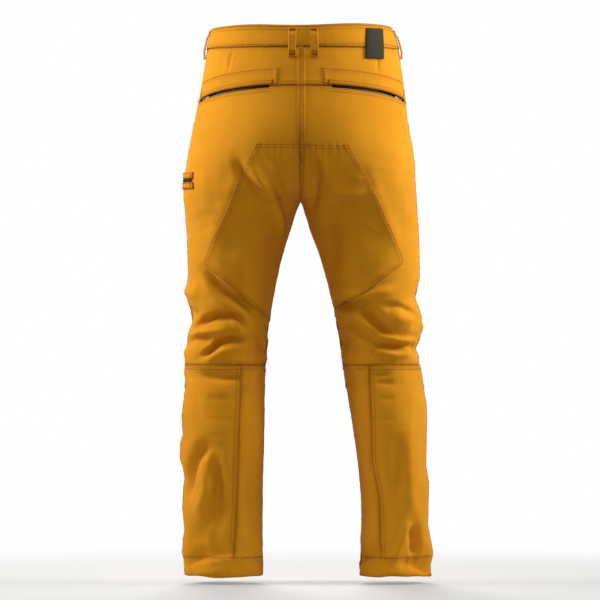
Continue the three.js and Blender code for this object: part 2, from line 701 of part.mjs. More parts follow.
// ---- Belt loops: a tack at each end and a bridge that stands off the waistband
const loop = { width: 15, top: 8, bottom: 20, off: 8.8, thick: 1.6, tack: 9, bend: 3 };
const loopPlaces = {
  back_left: { side: LEFT, x: 15, back: true },
  back_right: { side: RIGHT, x: 25, back: true },
  side_left: { side: LEFT, t: 0.52 },
  side_right: { side: RIGHT, t: 0.52 },
  front_left: { side: LEFT, x: 92, back: false },
  front_right: { side: RIGHT, x: 92, back: false },
};
function beltLoop(place) {
  const t = place.t ?? tAt(place.side, place.x, studZ, place.back);
  const low = cloth + layerGap;
  const high = loop.off;
  const top = waist - loop.top;
  const bottom = bandSeam - loop.bottom;
  const stations = [
    [top, low], [top - loop.tack, low], [top - loop.tack - loop.bend, high],
    [bottom + loop.tack + loop.bend, high], [bottom + loop.tack, low], [bottom, low],
  ];
  return block(1, stations.length - 1, (u, v, w) => {
    const [z, off] = stations[Math.round(v * (stations.length - 1))];
    const across = (u - 0.5) * loop.width * tPerMm(place.side, t, z);
    return skin(place.side, t + across, z, off + loop.thick * w, true);
  });
}
for (const [word, place] of Object.entries(loopPlaces)) add(`belt_loop_${word}`, beltLoop(place), twill);

// ---- Leather patch on the back of the waistband, right of the middle
const badge = { x: 140, width: 42, height: 58, top: 6, thick: 1.4 };
const badgeT = tAt(RIGHT, badge.x, bandSeam / 2, true);
const badgeHalf = (badge.width / 2) * tPerMm(RIGHT, badgeT, bandSeam / 2);
add("leather_patch",
  clothPanel(RIGHT, 4, 6, badgeT - badgeHalf, badgeT + badgeHalf, waist - badge.top, waist - badge.top - badge.height,
    cloth + looseGap, cloth + looseGap + badge.thick), leather);

export default trousers;
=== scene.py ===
"""Men's outdoor trousers in amber cotton twill, standing open as they are worn.

Every cloth panel is cut from one skin. The skin is a stack of ellipses for each half of the trousers, with the
folds of the cloth laid on it, and a point of it is named by its side, by t (0 at the front seam or inseam, 0.5 at
the side seam, 1 at the back seam or inseam) and by its height z. Lengths are in millimetres until a mesh is made.
"""
import math

import bpy
import numpy as np
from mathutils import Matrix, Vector


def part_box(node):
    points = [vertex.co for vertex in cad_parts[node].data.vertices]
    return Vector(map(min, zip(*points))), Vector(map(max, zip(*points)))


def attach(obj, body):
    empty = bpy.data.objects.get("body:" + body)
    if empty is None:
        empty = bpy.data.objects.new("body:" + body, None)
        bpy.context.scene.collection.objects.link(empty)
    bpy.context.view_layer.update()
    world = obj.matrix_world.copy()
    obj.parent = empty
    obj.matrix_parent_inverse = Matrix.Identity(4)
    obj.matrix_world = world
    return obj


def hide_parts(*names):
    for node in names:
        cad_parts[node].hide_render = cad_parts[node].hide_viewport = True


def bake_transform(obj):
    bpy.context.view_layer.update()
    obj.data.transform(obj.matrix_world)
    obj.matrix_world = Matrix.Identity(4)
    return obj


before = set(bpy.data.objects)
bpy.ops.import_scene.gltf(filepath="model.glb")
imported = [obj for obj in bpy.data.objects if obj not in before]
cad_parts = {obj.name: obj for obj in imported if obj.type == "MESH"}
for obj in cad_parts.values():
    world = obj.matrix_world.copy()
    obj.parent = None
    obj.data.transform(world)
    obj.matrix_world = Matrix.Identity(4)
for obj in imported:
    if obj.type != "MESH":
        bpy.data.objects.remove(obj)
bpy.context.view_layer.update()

MM = 0.001
LEFT, RIGHT = 1, -1
SIDES = {"left": LEFT, "right": RIGHT}
LEG_BODY = {LEFT: "left_lower_leg", RIGHT: "right_lower_leg"}

# ---- The garment's levels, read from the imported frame
def box_mm(node):
    low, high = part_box(node)
    return np.array(low) / MM, np.array(high) / MM


SEAM = 0.6  # half the gap that the frame keeps between two panels
BAND_SEAM = box_mm("waistband_outer")[0][2] - SEAM
KNEE = box_mm("calf_back_left")[1][2] + SEAM
KNEE_PANEL_TOP = box_mm("knee_panel_left")[1][2] + SEAM
KNEE_PANEL_BOTTOM = box_mm("knee_panel_left")[0][2] - SEAM
HEM_SEAM = box_mm("hem_left")[1][2] + SEAM
HEM = box_mm("hem_left")[0][2]
CROTCH = -330.0
YOKE = -116.0  # the yoke seam at the middle of the back
YOKE_TILT = 0.26  # its fall for each millimetre forward
SEAT = -190.0

# ---- Sections of the skin: z, outer (left, right), inner (left, right), front, back
SECTIONS = [
    (0, 168, 173, -168, -173, -116, 110),
    (-42, 178, 187, -178, -187, -119, 118),
    (YOKE, 190, 198, -190, -198, -121, 136),
    (SEAT, 204, 206, -150, -150, -120, 150),
    (CROTCH + 80, 215, 216, -82, -82, -116, 149),
    (CROTCH + 30, 222, 219, -24, -24, -110, 136),
    (CROTCH, 222, 221, 0, 0, -106, 124),
    (CROTCH - 57, 217, 225, 20, 19, -101, 104),
    (CROTCH - 120, 215, 227, 39, 42, -96, 93),
    (KNEE + 84, 212, 227, 60, 69, -84, 79),
    (KNEE, 219, 228, 67, 81, -76, 72),
    (KNEE - 126, 223, 239, 70, 101, -66, 82),
    (HEM + 147, 222, 245, 73, 116, -62, 72),
    (HEM, 220, 248, 72, 113, -62, 66),
]


def smoothstep(low, high, x):
    w = np.clip((np.asarray(x, float) - low) / (high - low), 0, 1)
    return w * w * (3 - 2 * w)


def hump(x, middle, half_width):
    """1 at the middle, falling off to both sides like a bell."""
    return np.exp(-(((x - middle) / half_width) ** 2))


def along_height(values):
    """A smooth curve through one measure of the sections, as a function of z."""
    zs = np.array([s[0] for s in SECTIONS], float)
    vs = np.array(values, float)
    order = np.arange(len(zs))
    before, after = np.maximum(order - 1, 0), np.minimum(order + 1, len(zs) - 1)
    slope = (vs[after] - vs[before]) / (zs[after] - zs[before])

    def at(z):
        z = np.asarray(z, float)
        i = np.clip(np.searchsorted(-zs, -z, side="right") - 1, 0, len(zs) - 2)
        h = zs[i + 1] - zs[i]
        w = np.clip((z - zs[i]) / h, 0, 1)
        ends = (2 * w**3 - 3 * w**2 + 1) * vs[i] + (3 * w**2 - 2 * w**3) * vs[i + 1]
        return ends + h * ((w**3 - 2 * w**2 + w) * slope[i] + (w**3 - w**2) * slope[i + 1])

    return at


OUTER = {LEFT: along_height([s[1] for s in SECTIONS]), RIGHT: along_height([s[2] for s in SECTIONS])}
INNER = {LEFT: along_height([s[3] for s in SECTIONS]), RIGHT: along_height([s[4] for s in SECTIONS])}
FRONT = along_height([s[5] for s in SECTIONS])
BACK = along_height([s[6] for s in SECTIONS])


def ellipse(side, z):
    """A section's centre and half widths, x before y, and the angle at which the middle plane cuts it."""
    outer, inner = OUTER[side](z), INNER[side](z)
    cx, a = (outer + inner) / 2, (outer - inner) / 2
    cy, b = (FRONT(z) + BACK(z)) / 2, (BACK(z) - FRONT(z)) / 2
    return cx, a, cy, b, np.arccos(-np.minimum(1, cx / a))


def skin_point(side, t, z):
    """A point of the plain skin, without its folds."""
    cx, a, cy, b, cut = ellipse(side, z)
    angle = cut * (1 - 2 * t)
    return np.stack([side * (cx + a * np.cos(angle)), cy - b * np.sin(angle), np.broadcast_to(z, np.shape(angle))], -1)


def t_at(side, x, z, back=True):
    """t of the skin at a distance x from the middle plane, on the back or on the front."""
    cx, a, _, _, cut = ellipse(side, z)
    angle = np.arccos(np.clip((x - cx) / a, -1, 1))
    return (1 - (-angle if back else angle) / cut) / 2


def yoke_line(side, t):
    """Height of the yoke seam at t. It falls towards the front, so each height is tried on the skin it lands on."""
    z = np.full(np.shape(t), YOKE)
    back = skin_point(side, 1, YOKE)[1]
    for _ in range(8):
        z = YOKE + YOKE_TILT * (skin_point(side, t, z)[..., 1] - back)
    return z


# ---- Distance round the leg from the side seam, tabled over t and z
TABLE_T = np.linspace(0, 1, 241)
TABLE_Z = np.linspace(10, HEM - 12, 260)


def girth_table(side):
    tt, zz = np.meshgrid(TABLE_T, TABLE_Z)
    p = skin_point(side, tt, zz)
    step = np.linalg.norm(np.diff(p, axis=1), axis=-1)
    s = np.concatenate([np.zeros((len(TABLE_Z), 1)), np.cumsum(step, 1)], 1)
    return s - s[:, [len(TABLE_T) // 2]]


def grid_lookup(table, t, z, t_range=(0, 1), z_range=None):
    """Bicubic lookup in a table with rows over z and columns over t; the table may hold vectors."""
    z0, z1 = z_range or (TABLE_Z[0], TABLE_Z[-1])
    rows, cols = table.shape[:2]
    fi = np.clip((z - z0) / (z1 - z0), 0, 1) * (rows - 1)
    fj = np.clip((t - t_range[0]) / (t_range[1] - t_range[0]), 0, 1) * (cols - 1)
    i, j = np.minimum(fi.astype(int), rows - 2), np.minimum(fj.astype(int), cols - 2)
    u, v = fi - i, fj - j

    def weights(w):
        return [-0.5 * w + w**2 - 0.5 * w**3, 1 - 2.5 * w**2 + 1.5 * w**3,
                0.5 * w + 2 * w**2 - 1.5 * w**3, -0.5 * w**2 + 0.5 * w**3]

    total = 0
    for k, wu in enumerate(weights(u)):
        ii = np.clip(i + k - 1, 0, rows - 1)
        for m, wv in enumerate(weights(v)):
            jj = np.clip(j + m - 1, 0, cols - 1)
            w = wu * wv
            total = total + (w[..., None] if table.ndim == 3 else w) * table[ii, jj]
    return total


GIRTH = {side: girth_table(side) for side in (LEFT, RIGHT)}


def girth_at(side, t, z):
    return grid_lookup(GIRTH[side], t, z)


def t_of_girth(side, s, z):
    """t at a distance s round the leg from the side seam, towards the back."""
    low, high = np.zeros(np.shape(s)), np.ones(np.shape(s))
    for _ in range(16):
        mid = (low + high) / 2
        under = girth_at(side, mid, z) < s
        low, high = np.where(under, mid, low), np.where(under, high, mid)
    return (low + high) / 2


# ---- Folds. Each stroke is a line on the cloth: its lift (negative for a valley), its half width above and below the
# line, and then x from the middle plane and z of each point along it.
FOLDS = {
    (LEFT, "back"): [
        # darts under the waistband
        (-2.2, 2.6, 2.6, 128, -44, 134, -68, 139, -93),
        (-2.6, 5, 6, 170, -62, 154, -73, 139, -84),
        # seat and thigh
        (-9.5, 11, 9, 124, -252, 110, -282, 92, -304, 66, -329),
        (9.5, 10, 11, 97, -262, 79, -293, 58, -318, 43, -353, 35, -396),
        (-4.0, 12, 10, 60, -250, 40, -280, 24, -312),
        (3.5, 14, 14, 124, -425, 107, -469, 98, -500),
        (-3.0, 16, 16, 150, -360, 132, -405, 128, -440),
        (4.5, 17, 19, 108, -275, 134, -335, 160, -395, 176, -435),
        (-17.0, 9, 10, 184, -462, 159, -490, 127, -512, 100, -532, 84, -551),
        (7.0, 9, 10, 188, -484, 157, -517, 113, -547),
        (5.5, 12, 12, 219, -500, 206, -507, 190, -508),
        # gathers behind the knee
        (-19.0, 7, 9, 208, -573, 187, -561, 161, -553, 129, -549, 115, -557, 107, -573),
        (8.5, 7, 7, 206, -584, 174, -580, 136, -577),
        (6.0, 6, 6, 130, -552, 122, -570, 108, -583),
        (-7.0, 10, 12, 214, -536, 206, -548, 190, -548),
        (-13.0, 7, 8, 214, -598, 192, -596, 166, -594),
        (7.0, 5, 5, 161, -597, 174, -611, 192, -623),
        (-17.0, 7, 8, 100, -596, 132, -595, 155, -602, 174, -617, 192, -627),
        (7.0, 8, 8, 108, -607, 142, -617, 182, -632),
        (-4.5, 10, 10, 88, -580, 78, -600, 70, -618),
        (-10.0, 8, 9, 190, -661, 152, -667, 112, -667),
        (5.5, 9, 9, 66, -616, 88, -664, 112, -712),
        (2.0, 12, 12, 186, -690, 156, -696, 124, -694),
        (-1.5, 6, 6, 182, -706, 156, -709, 128, -706),
        (-1.2, 5, 5, 184, -744, 150, -748, 126, -744),
        (-1.2, 5, 5, 180, -775, 154, -779, 130, -774),
        # calf and hem
        (5.0, 16, 16, 226, -776, 230, -806, 226, -836),
        (-16.0, 15, 13, 158, -800, 180, -800, 203, -828, 212, -858, 216, -905),
        (8.0, 12, 12, 182, -836, 180, -877, 196, -930),
        (-13.0, 12, 10, 162, -808, 156, -877, 162, -922, 184, -956),
        (-7.0, 11, 11, 142, -900, 152, -935, 160, -960),
        (4.5, 13, 13, 118, -836, 120, -909, 110, -975),
        (-3.5, 12, 12, 107, -845, 97, -909, 91, -973),
        (-7.0, 22, 16, 216, -972, 176, -970, 146, -978),
        (-16.0, 30, 6, 216, -1026, 190, -1012, 150, -1004, 118, -1002),
        (3.0, 7, 7, 206, -1040, 168, -1038, 138, -1032),
        (3.5, 9, 9, 120, -1012, 100, -1024, 82, -1036),
        (-4.0, 8, 8, 84, -1000, 78, -1012, 74, -1020),
    ],
    (RIGHT, "back"): [
        (-2.2, 2.6, 2.6, 146, -44, 147, -70, 147, -92),
        (7.0, 12, 6, 52, -318, 79, -319, 122, -324),
        (-6.0, 7, 13, 56, -334, 84, -333, 118, -334),
        (-3.0, 12, 10, 114, -272, 128, -298, 132, -318),
        (-13.0, 16, 14, 16, -236, 27, -290, 24, -345),
        (-7.0, 22, 20, 46, -352, 62, -410, 62, -470),
        (3.5, 20, 18, 96, -380, 112, -430, 104, -480),
        (5.5, 17, 19, 116, -272, 142, -325, 164, -378, 186, -428),
        (1.8, 5, 5, 96, -372, 128, -377, 142, -388),
        (7.5, 8, 9, 74, -503, 120, -513, 180, -498),
        (-15.0, 9, 10, 62, -526, 101, -532, 138, -522),
        (-17.0, 13, 11, 113, -531, 134, -556, 153, -576, 178, -591),
        (10.0, 6, 7, 106, -540, 124, -566, 153, -587, 186, -597, 220, -599),
        (10.0, 24, 20, 168, -546, 192, -560, 214, -566),
        (-8.0, 6, 10, 144, -528, 179, -531, 218, -549),
        (-11.0, 16, 7, 78, -560, 106, -584, 140, -598, 164, -602),
        (-14.0, 7, 7, 135, -606, 166, -611, 200, -609),
        (7.0, 8, 9, 136, -616, 179, -625, 214, -621),
        (-6.0, 7, 7, 132, -616, 150, -624, 168, -633),
        (-8.0, 20, 16, 74, -590, 92, -606, 116, -626),
        (7.5, 7, 7, 84, -636, 108, -652, 132, -684),
        (-5.5, 5, 6, 138, -662, 152, -662, 170, -660),
        (-4.5, 5, 6, 142, -674, 158, -676, 176, -677),
        (-5.5, 9, 9, 220, -604, 216, -612, 206, -612),
        (-1.5, 5, 5, 142, -706, 160, -709, 180, -706),
        (-1.2, 5, 5, 142, -744, 162, -748, 186, -744),
        (5.0, 13, 15, 202, -760, 205, -845, 211, -903, 228, -943),
        (-7.0, 20, 20, 182, -770, 184, -850, 186, -920),
        (-6.0, 20, 18, 150, -850, 160, -920, 164, -985),
        (-2.5, 14, 14, 230, -760, 232, -820, 232, -880),
        (-2.5, 4, 4, 134, -790, 134, -826, 134, -864),
        (-3.0, 9, 9, 134, -866, 144, -896, 160, -930),
        (-18.0, 15, 14, 212, -948, 221, -975, 224, -1008),
        (7.0, 9, 9, 206, -938, 196, -975, 178, -1016),
        (-11.0, 18, 7, 112, -1020, 130, -1008, 158, -1000),
        (-17.0, 32, 6, 180, -1020, 212, -1026, 246, -1040),
        (3.0, 7, 7, 150, -1032, 176, -1040, 214, -1044),
        (3.0, 12, 12, 120, -960, 130, -990, 126, -1004),
    ],
    (LEFT, "front"): [
        (-7.5, 14, 11, 30, -250, 70, -285, 120, -300, 170, -300),
        (-10.0, 12, 11, 16, -300, 60, -330, 110, -350, 160, -352),
        (-7.5, 12, 10, 24, -340, 60, -370, 100, -396),
        (-5.0, 11, 9, 40, -214, 60, -236, 96, -244),
        (5.0, 18, 16, 160, -420, 140, -460, 138, -494),
        (-10.5, 11, 12, 200, -560, 160, -585, 110, -590, 74, -580),
        (-10.5, 10, 12, 196, -620, 150, -635, 100, -630),
        (-7.0, 10, 10, 190, -668, 150, -676, 104, -668),
        (7.5, 18, 14, 160, -760, 156, -850, 160, -940),
        (-7.5, 16, 12, 110, -800, 104, -900, 112, -980),
        (-9.0, 11, 9, 206, -975, 170, -990, 120, -985, 90, -995),
        (6.0, 9, 9, 200, -1014, 160, -1020, 112, -1012),
    ],
    (RIGHT, "front"): [
        (-7.5, 14, 11, 28, -256, 70, -290, 124, -306, 176, -300),
        (-10.0, 12, 11, 14, -306, 58, -336, 112, -352, 164, -356),
        (-7.5, 12, 10, 22, -346, 58, -376, 102, -400),
        (-5.0, 11, 9, 44, -206, 70, -230, 104, -236),
        (5.0, 18, 16, 168, -430, 150, -466, 146, -498),
        (-10.5, 11, 12, 208, -566, 164, -590, 112, -594, 80, -584),
        (-10.5, 10, 12, 206, -626, 160, -640, 104, -634),
        (-7.0, 10, 10, 204, -670, 160, -680, 112, -672),
        (7.5, 18, 14, 180, -760, 182, -850, 192, -940),
        (-7.5, 16, 12, 126, -800, 134, -900, 142, -980),
        (-9.0, 11, 9, 236, -975, 196, -990, 150, -985, 120, -995),
        (6.0, 9, 9, 232, -1014, 190, -1022, 140, -1012),
    ],
}
# The small gathers that run down from the seat patch's upper seam, by their x
GATHERS = {LEFT: (14, 25, 37, 48, 60, 71), RIGHT: (18, 29, 41, 52, 66, 78)}
GATHER_TOP, GATHER_BEND = -218, -230
for side, xs in GATHERS.items():
    for k, x in enumerate(xs):
        reach = 20 + 9 * (k % 3)
        FOLDS[side, "back"].append((-1.0 + 0.25 * (k % 2), 3.0, 3.0, x, GATHER_TOP, x * 1.03, GATHER_BEND, x * 1.08,
                                    GATHER_BEND - reach))
# How far the leg swells or narrows beside its side seam: (z, lift), centred at SWELL_T and SWELL_SPREAD wide in t
SWELL_T, SWELL_SPREAD = 0.51, 0.075
SWELL = {
    LEFT: [(-470, 0), (-508, 6), (-535, 0), (-560, -5), (-590, 0), (-625, 6), (-660, 1), (-690, -2), (-740, 5),
           (-780, 0), (-830, 4), (-860, -1), (-915, 4), (-958, 0), (-1000, 6), (-1047, 2)],
    RIGHT: [(-480, 0), (-515, -10), (-540, 0), (-568, 8), (-595, 0), (-614, -9), (-645, 1), (-720, 6), (-790, 0),
            (-835, -4), (-870, 0), (-948, -4), (-990, 4), (-1020, 6), (-1047, 2)],
}


# ---- Crumples: the small uneven creases between the folds
LATTICE_CELLS = 64
LATTICE = np.random.default_rng(29).uniform(-1, 1, (4, LATTICE_CELLS, LATTICE_CELLS))


def noise(k, u, v):
    """Smooth noise from the k-th lattice, one cell to each unit of u and v."""
    last, turn = LATTICE_CELLS - 1, LATTICE_CELLS - 4
    return grid_lookup(LATTICE[k], 1 + np.mod(u, turn), 1 + np.mod(v, turn), (0, last), (0, last))


def crumple(side, s, z):
    """Creases of the cloth away from its folds: across the leg behind the knee, along it on the calf, and round ones
    near the hem. s is the distance round the leg, and each crease is given its size along s and z."""
    def crease(k, s, z, s_size, z_size):
        return noise(k, s / s_size + shift, z / z_size + 30)

    shift = 17.0 if side == LEFT else 41.0
    bend = 9 * crease(0, s, z, 55, 60)
    across, along = crease(1, s, z + bend, 46, 13), crease(2, s + bend, z, 15, 70)
    round_ = crease(3, s, z, 30, 34) + 0.5 * crease(1, s, z, 14, 15)
    knee_share = hump(z, KNEE + 40, 85)
    hem_share = smoothstep(HEM + 120, HEM + 20, z)
    calf_share = smoothstep(KNEE - 20, KNEE - 120, z) * (1 - 0.5 * hem_share)
    crotch_share = hump(z, CROTCH + 10, 70)
    return (
        across * (1.5 * knee_share + 0.9 * hem_share + 0.5 * crotch_share + 0.2)
        + along * (0.9 * calf_share + 0.3 * crotch_share)
        + round_ * (0.15 + 0.9 * hem_share + 0.6 * knee_share + 0.2 * calf_share)
    )


def fold_lift(side, t, z):
    """How far the folds lift the cloth at (t, z)."""
    s = girth_at(side, t, z)
    lift = np.zeros(np.shape(s))
    for (fold_side, face), strokes in FOLDS.items():
        if fold_side != side:
            continue
        for height, above, below, *line in strokes:
            px, pz = np.reshape(np.array(line, float), (-1, 2)).T
            ps = girth_at(side, t_at(side, px, pz, face == "back"), pz)
            lengths = np.hypot(np.diff(ps), np.diff(pz))
            start = np.concatenate([[0], np.cumsum(lengths)])
            best, run, sign = np.full(s.shape, np.inf), np.zeros(s.shape), np.ones(s.shape)
            for k in range(len(ps) - 1):
                ds, dz = ps[k + 1] - ps[k], pz[k + 1] - pz[k]
                u = np.clip(((s - ps[k]) * ds + (z - pz[k]) * dz) / lengths[k] ** 2, 0, 1)
                gap_s, gap_z = s - ps[k] - u * ds, z - pz[k] - u * dz
                gap = np.hypot(gap_s, gap_z)
                nearer = gap < best
                best = np.where(nearer, gap, best)
                run = np.where(nearer, start[k] + u * lengths[k], run)
                sign = np.where(nearer, np.sign(gap_z * abs(ds) - gap_s * dz * np.sign(ds)), sign)
            width = np.where(sign > 0, above, below)
            whole = start[-1]
            end = 0.3 * whole  # a stroke dies out over this much of each end
            taper = smoothstep(-0.1 * whole, end, run) * smoothstep(-0.1 * whole, end, whole - run)
            lift += height * hump(best, 0, width) * taper
    levels, swells = np.array(SWELL[side]).T
    return lift + np.interp(-z, -levels, swells) * hump(t, SWELL_T, SWELL_SPREAD)


# ---- The folded skin, tabled once for each side, and looked up from then on
FOLD_T = np.linspace(0, 1, 181)
FOLD_Z = np.linspace(10, HEM - 12, 420)


def fold_table(side):
    tt, zz = np.meshgrid(FOLD_T, FOLD_Z)
    flat = skin_point(side, tt, zz)
    out = -side * np.cross(np.gradient(flat, axis=1), np.gradient(flat, axis=0))
    out /= np.linalg.norm(out, axis=-1, keepdims=True)
    lift = fold_lift(side, tt, zz) + crumple(side, girth_at(side, tt, zz), zz)
    return out * lift[..., None]


FOLD = {side: fold_table(side) for side in (LEFT, RIGHT)}


def cloth_point(side, t, z):
    """A point of the folded skin."""
    t, z = np.broadcast_arrays(np.asarray(t, float), np.asarray(z, float))
    return skin_point(side, t, z) + grid_lookup(FOLD[side], t, z, z_range=(FOLD_Z[0], FOLD_Z[-1]))


def cloth_normal(side, t, z):
    dt, dz = 0.004, 2.0
    across = cloth_point(side, t + dt, z) - cloth_point(side, t - dt, z)
    up = cloth_point(side, t, z + dz) - cloth_point(side, t, z - dz)
    n = side * np.cross(across, up)
    return n / np.maximum(np.linalg.norm(n, axis=-1, keepdims=True), 1e-9)


# ---- Meshes
def new_mesh(name, points, faces, material, uv=None, smooth=True):
    """A mesh object at the origin, from points in millimetres."""
    mesh = bpy.data.meshes.new(name)
    mesh.vertices.add(len(points))
    mesh.vertices.foreach_set("co", (np.asarray(points, float) * MM).ravel())
    corners = np.concatenate([np.asarray(f).ravel() for f in faces]).astype(np.int32)
    totals = np.concatenate([np.full(len(f), np.asarray(f).shape[1]) for f in faces])
    mesh.loops.add(len(corners))
    mesh.loops.foreach_set("vertex_index", corners)
    mesh.polygons.add(len(totals))
    starts = np.concatenate([[0], np.cumsum(totals)[:-1]])
    mesh.polygons.foreach_set("loop_start", starts.astype(np.int32))
    if uv is not None:
        layer = mesh.uv_layers.new(name="cloth")
        layer.data.foreach_set("uv", (np.asarray(uv)[corners] * MM).ravel())
    mesh.update(calc_edges=True)
    mesh.validate()
    if smooth:
        mesh.shade_smooth()
    mesh.materials.append(material)
    obj = bpy.data.objects.new(name, mesh)
    bpy.context.scene.collection.objects.link(obj)
    return obj


def shell(name, outer, inward, thickness, uv, material, seam=None):
    """A layer of cloth: a grid of outer points, the same grid pushed inward, and a rim between them. seam is how near
    each point is to a sewn edge."""
    rows, cols = outer.shape[:2]
    inner = outer + inward * thickness
    ids = np.arange(rows * cols).reshape(rows, cols)
    a, b, c, d = ids[:-1, :-1], ids[:-1, 1:], ids[1:, 1:], ids[1:, :-1]
    front = np.stack([a, b, c, d], -1).reshape(-1, 4)
    back = front[:, ::-1] + rows * cols
    faces = [front, back]
    for rim in (ids[0, ::-1], ids[-1, :], ids[:, 0], ids[::-1, -1]):
        faces.append(np.stack([rim[:-1], rim[1:], rim[1:] + rows * cols, rim[:-1] + rows * cols], -1))
    points = np.concatenate([outer.reshape(-1, 3), inner.reshape(-1, 3)])
    uvs = np.concatenate([uv.reshape(-1, 2)] * 2)
    obj = new_mesh(name, points, faces, material, uvs)
    if seam is not None:
        near = obj.data.attributes.new("seam", "FLOAT", "POINT")
        near.data.foreach_set("value", np.concatenate([seam.ravel()] * 2))
    middle = obj.data.polygons[len(front) // 2]  # an outer face has to look away from inward
    if np.dot(np.array(middle.normal), inward.reshape(-1, 3)[front[len(front) // 2, 0]]) > 0:
        obj.data.flip_normals()
    return obj


# ---- Materials
def linear(code):
    """An sRGB hex colour as linear RGBA."""
    parts = [int(code[i:i + 2], 16) / 255 for i in (1, 3, 5)]
    return [p / 12.92 if p <= 0.04045 else ((p + 0.055) / 1.055) ** 2.4 for p in parts] + [1]


def node(tree, kind, links=None, **settings):
    """Adds one node: settings are its own fields, or its inputs by name; links are inputs fed by other sockets."""
    made = tree.nodes.new(kind)
    inputs = {}
    for key, value in settings.items():
        if hasattr(made, key):
            setattr(made, key, value)
        else:
            inputs[key] = value
    for key, value in inputs.items():
        made.inputs[key.replace("_", " ")].default_value = value
    for key, source in (links or {}).items():
        tree.links.new(source, made.inputs[key])
    return made


def material(name, color, roughness, metallic=0.0, sheen=0.0, gloss=0.5):
    made = bpy.data.materials.new(name)
    made.use_nodes = True
    shader = made.node_tree.nodes["Principled BSDF"]
    values = {"Base Color": linear(color), "Roughness": roughness, "Metallic": metallic, "Sheen Weight": sheen,
              "Specular IOR Level": gloss, "Sheen Roughness": 0.5}
    for label, value in values.items():
        shader.inputs[label].default_value = value
    return made, made.node_tree, shader


def ramp(tree, source, start, shades):
    """Runs through three shades, a fifth of the source's range apart from start."""
    made = node(tree, "ShaderNodeValToRGB", {"Fac": source})
    elements = made.color_ramp.elements
    elements.new(start + 0.2)
    for k, shade in enumerate(shades):
        elements[k].position, elements[k].color = start + 0.2 * k, linear(shade)
    return made


WAVE_REPEAT = 0.3142  # how far apart the bands of a wave texture are at scale 1


def cotton_twill(name, light, mid, dark, painted_seam_shade, wale=0.0013):
    """Brushed cotton twill, piece-dyed: matt, with a soft bloom, steep diagonal wales and a slightly uneven dye.
    The real wales are 0.7 mm apart; they are drawn at 1.3 mm so that they still show. Beside a seam the cloth is
    darkened in flecks towards its last colour: a painted shade, for the shade in the seam's step and puckers."""
    made, tree, shader = material(name, mid, 0.9, sheen=0.03, gloss=0.12)
    place = node(tree, "ShaderNodeTexCoord")
    dye = node(tree, "ShaderNodeTexNoise", {"Vector": place.outputs["Object"]}, Scale=7.0, Detail=4.0, Roughness=0.5)
    fleck = node(tree, "ShaderNodeTexNoise", {"Vector": place.outputs["Object"]}, Scale=620.0, Detail=3.0)
    both = node(tree, "ShaderNodeMix", {"A": dye.outputs["Fac"], "B": fleck.outputs["Fac"]}, Factor=0.5)
    colour = ramp(tree, both.outputs["Result"], 0.3, (dark, mid, light))
    sewn = node(tree, "ShaderNodeAttribute", attribute_name="seam")
    # painted shade beside a seam: the seam's nearness, broken into flecks, mixes the cloth towards its last colour
    seam_shade_flecks = node(tree, "ShaderNodeTexNoise", {"Vector": place.outputs["Object"]}, Scale=170.0, Detail=3.0)
    seam_shade_depth = node(tree, "ShaderNodeMapRange", {"Value": seam_shade_flecks.outputs["Fac"]}, To_Min=0.25, To_Max=0.85)
    share = node(tree, "ShaderNodeMath", {0: sewn.outputs["Fac"], 1: seam_shade_depth.outputs["Result"]}, operation="MULTIPLY")
    tinted = node(tree, "ShaderNodeMix", {"Factor": share.outputs[0], "A": colour.outputs["Color"]}, data_type="RGBA")
    tinted.inputs["B"].default_value = linear(painted_seam_shade)
    tree.links.new(tinted.outputs["Result"], shader.inputs["Base Color"])
    turn = node(tree, "ShaderNodeMapping", {"Vector": place.outputs["UV"]}, Rotation=(0, 0, math.radians(28)))
    wales = node(tree, "ShaderNodeTexWave", {"Vector": turn.outputs["Vector"]}, Scale=WAVE_REPEAT / wale,
                 Distortion=1.2, Detail=2.0)
    fibre = node(tree, "ShaderNodeTexNoise", {"Vector": place.outputs["Object"]}, Scale=240.0, Detail=4.0)
    relief = node(tree, "ShaderNodeMix", {"A": wales.outputs["Fac"], "B": fibre.outputs["Fac"]}, Factor=0.45)
    bump = node(tree, "ShaderNodeBump", {"Height": relief.outputs["Result"]}, Strength=0.35, Distance=0.0006)
    tree.links.new(bump.outputs["Normal"], shader.inputs["Normal"])
    return made


def weathered(name, shades, patches, finish, grains, depth, metallic=0.0, gloss=0.2):
    """A finish that drifts between three shades, its roughness with it, over a fine relief. patches and grains are
    counts in a metre, and depth is in metres."""
    made, tree, shader = material(name, shades[1], finish[1], metallic, gloss=gloss)
    place = node(tree, "ShaderNodeTexCoord")
    drift = node(tree, "ShaderNodeTexNoise", {"Vector": place.outputs["Object"]}, Scale=patches, Detail=5.0)
    colour = ramp(tree, drift.outputs["Fac"], 0.35, shades)
    tree.links.new(colour.outputs["Color"], shader.inputs["Base Color"])
    rough = node(tree, "ShaderNodeMapRange", {"Value": drift.outputs["Fac"]}, To_Min=finish[0], To_Max=finish[1])
    tree.links.new(rough.outputs["Result"], shader.inputs["Roughness"])
    relief = node(tree, "ShaderNodeTexVoronoi", {"Vector": place.outputs["Object"]}, Scale=grains)
    bump = node(tree, "ShaderNodeBump", {"Height": relief.outputs["Distance"]}, Strength=0.6, Distance=depth)
    tree.links.new(bump.outputs["Normal"], shader.inputs["Normal"])
    return made


# The last colour of the twill is the painted shade that it takes beside a seam
TWILL = cotton_twill("cotton_twill_amber", "#dd9519", "#d38b12", "#c27d0d", "#8f4d0c")
# The same weave, undyed and lighter, for bags and facings; its last colour is again the painted shade beside a seam
LINING = cotton_twill("pocket_cotton_tan", "#d8b878", "#c9a35a", "#b08d4a", "#a3803f", wale=0.0009)
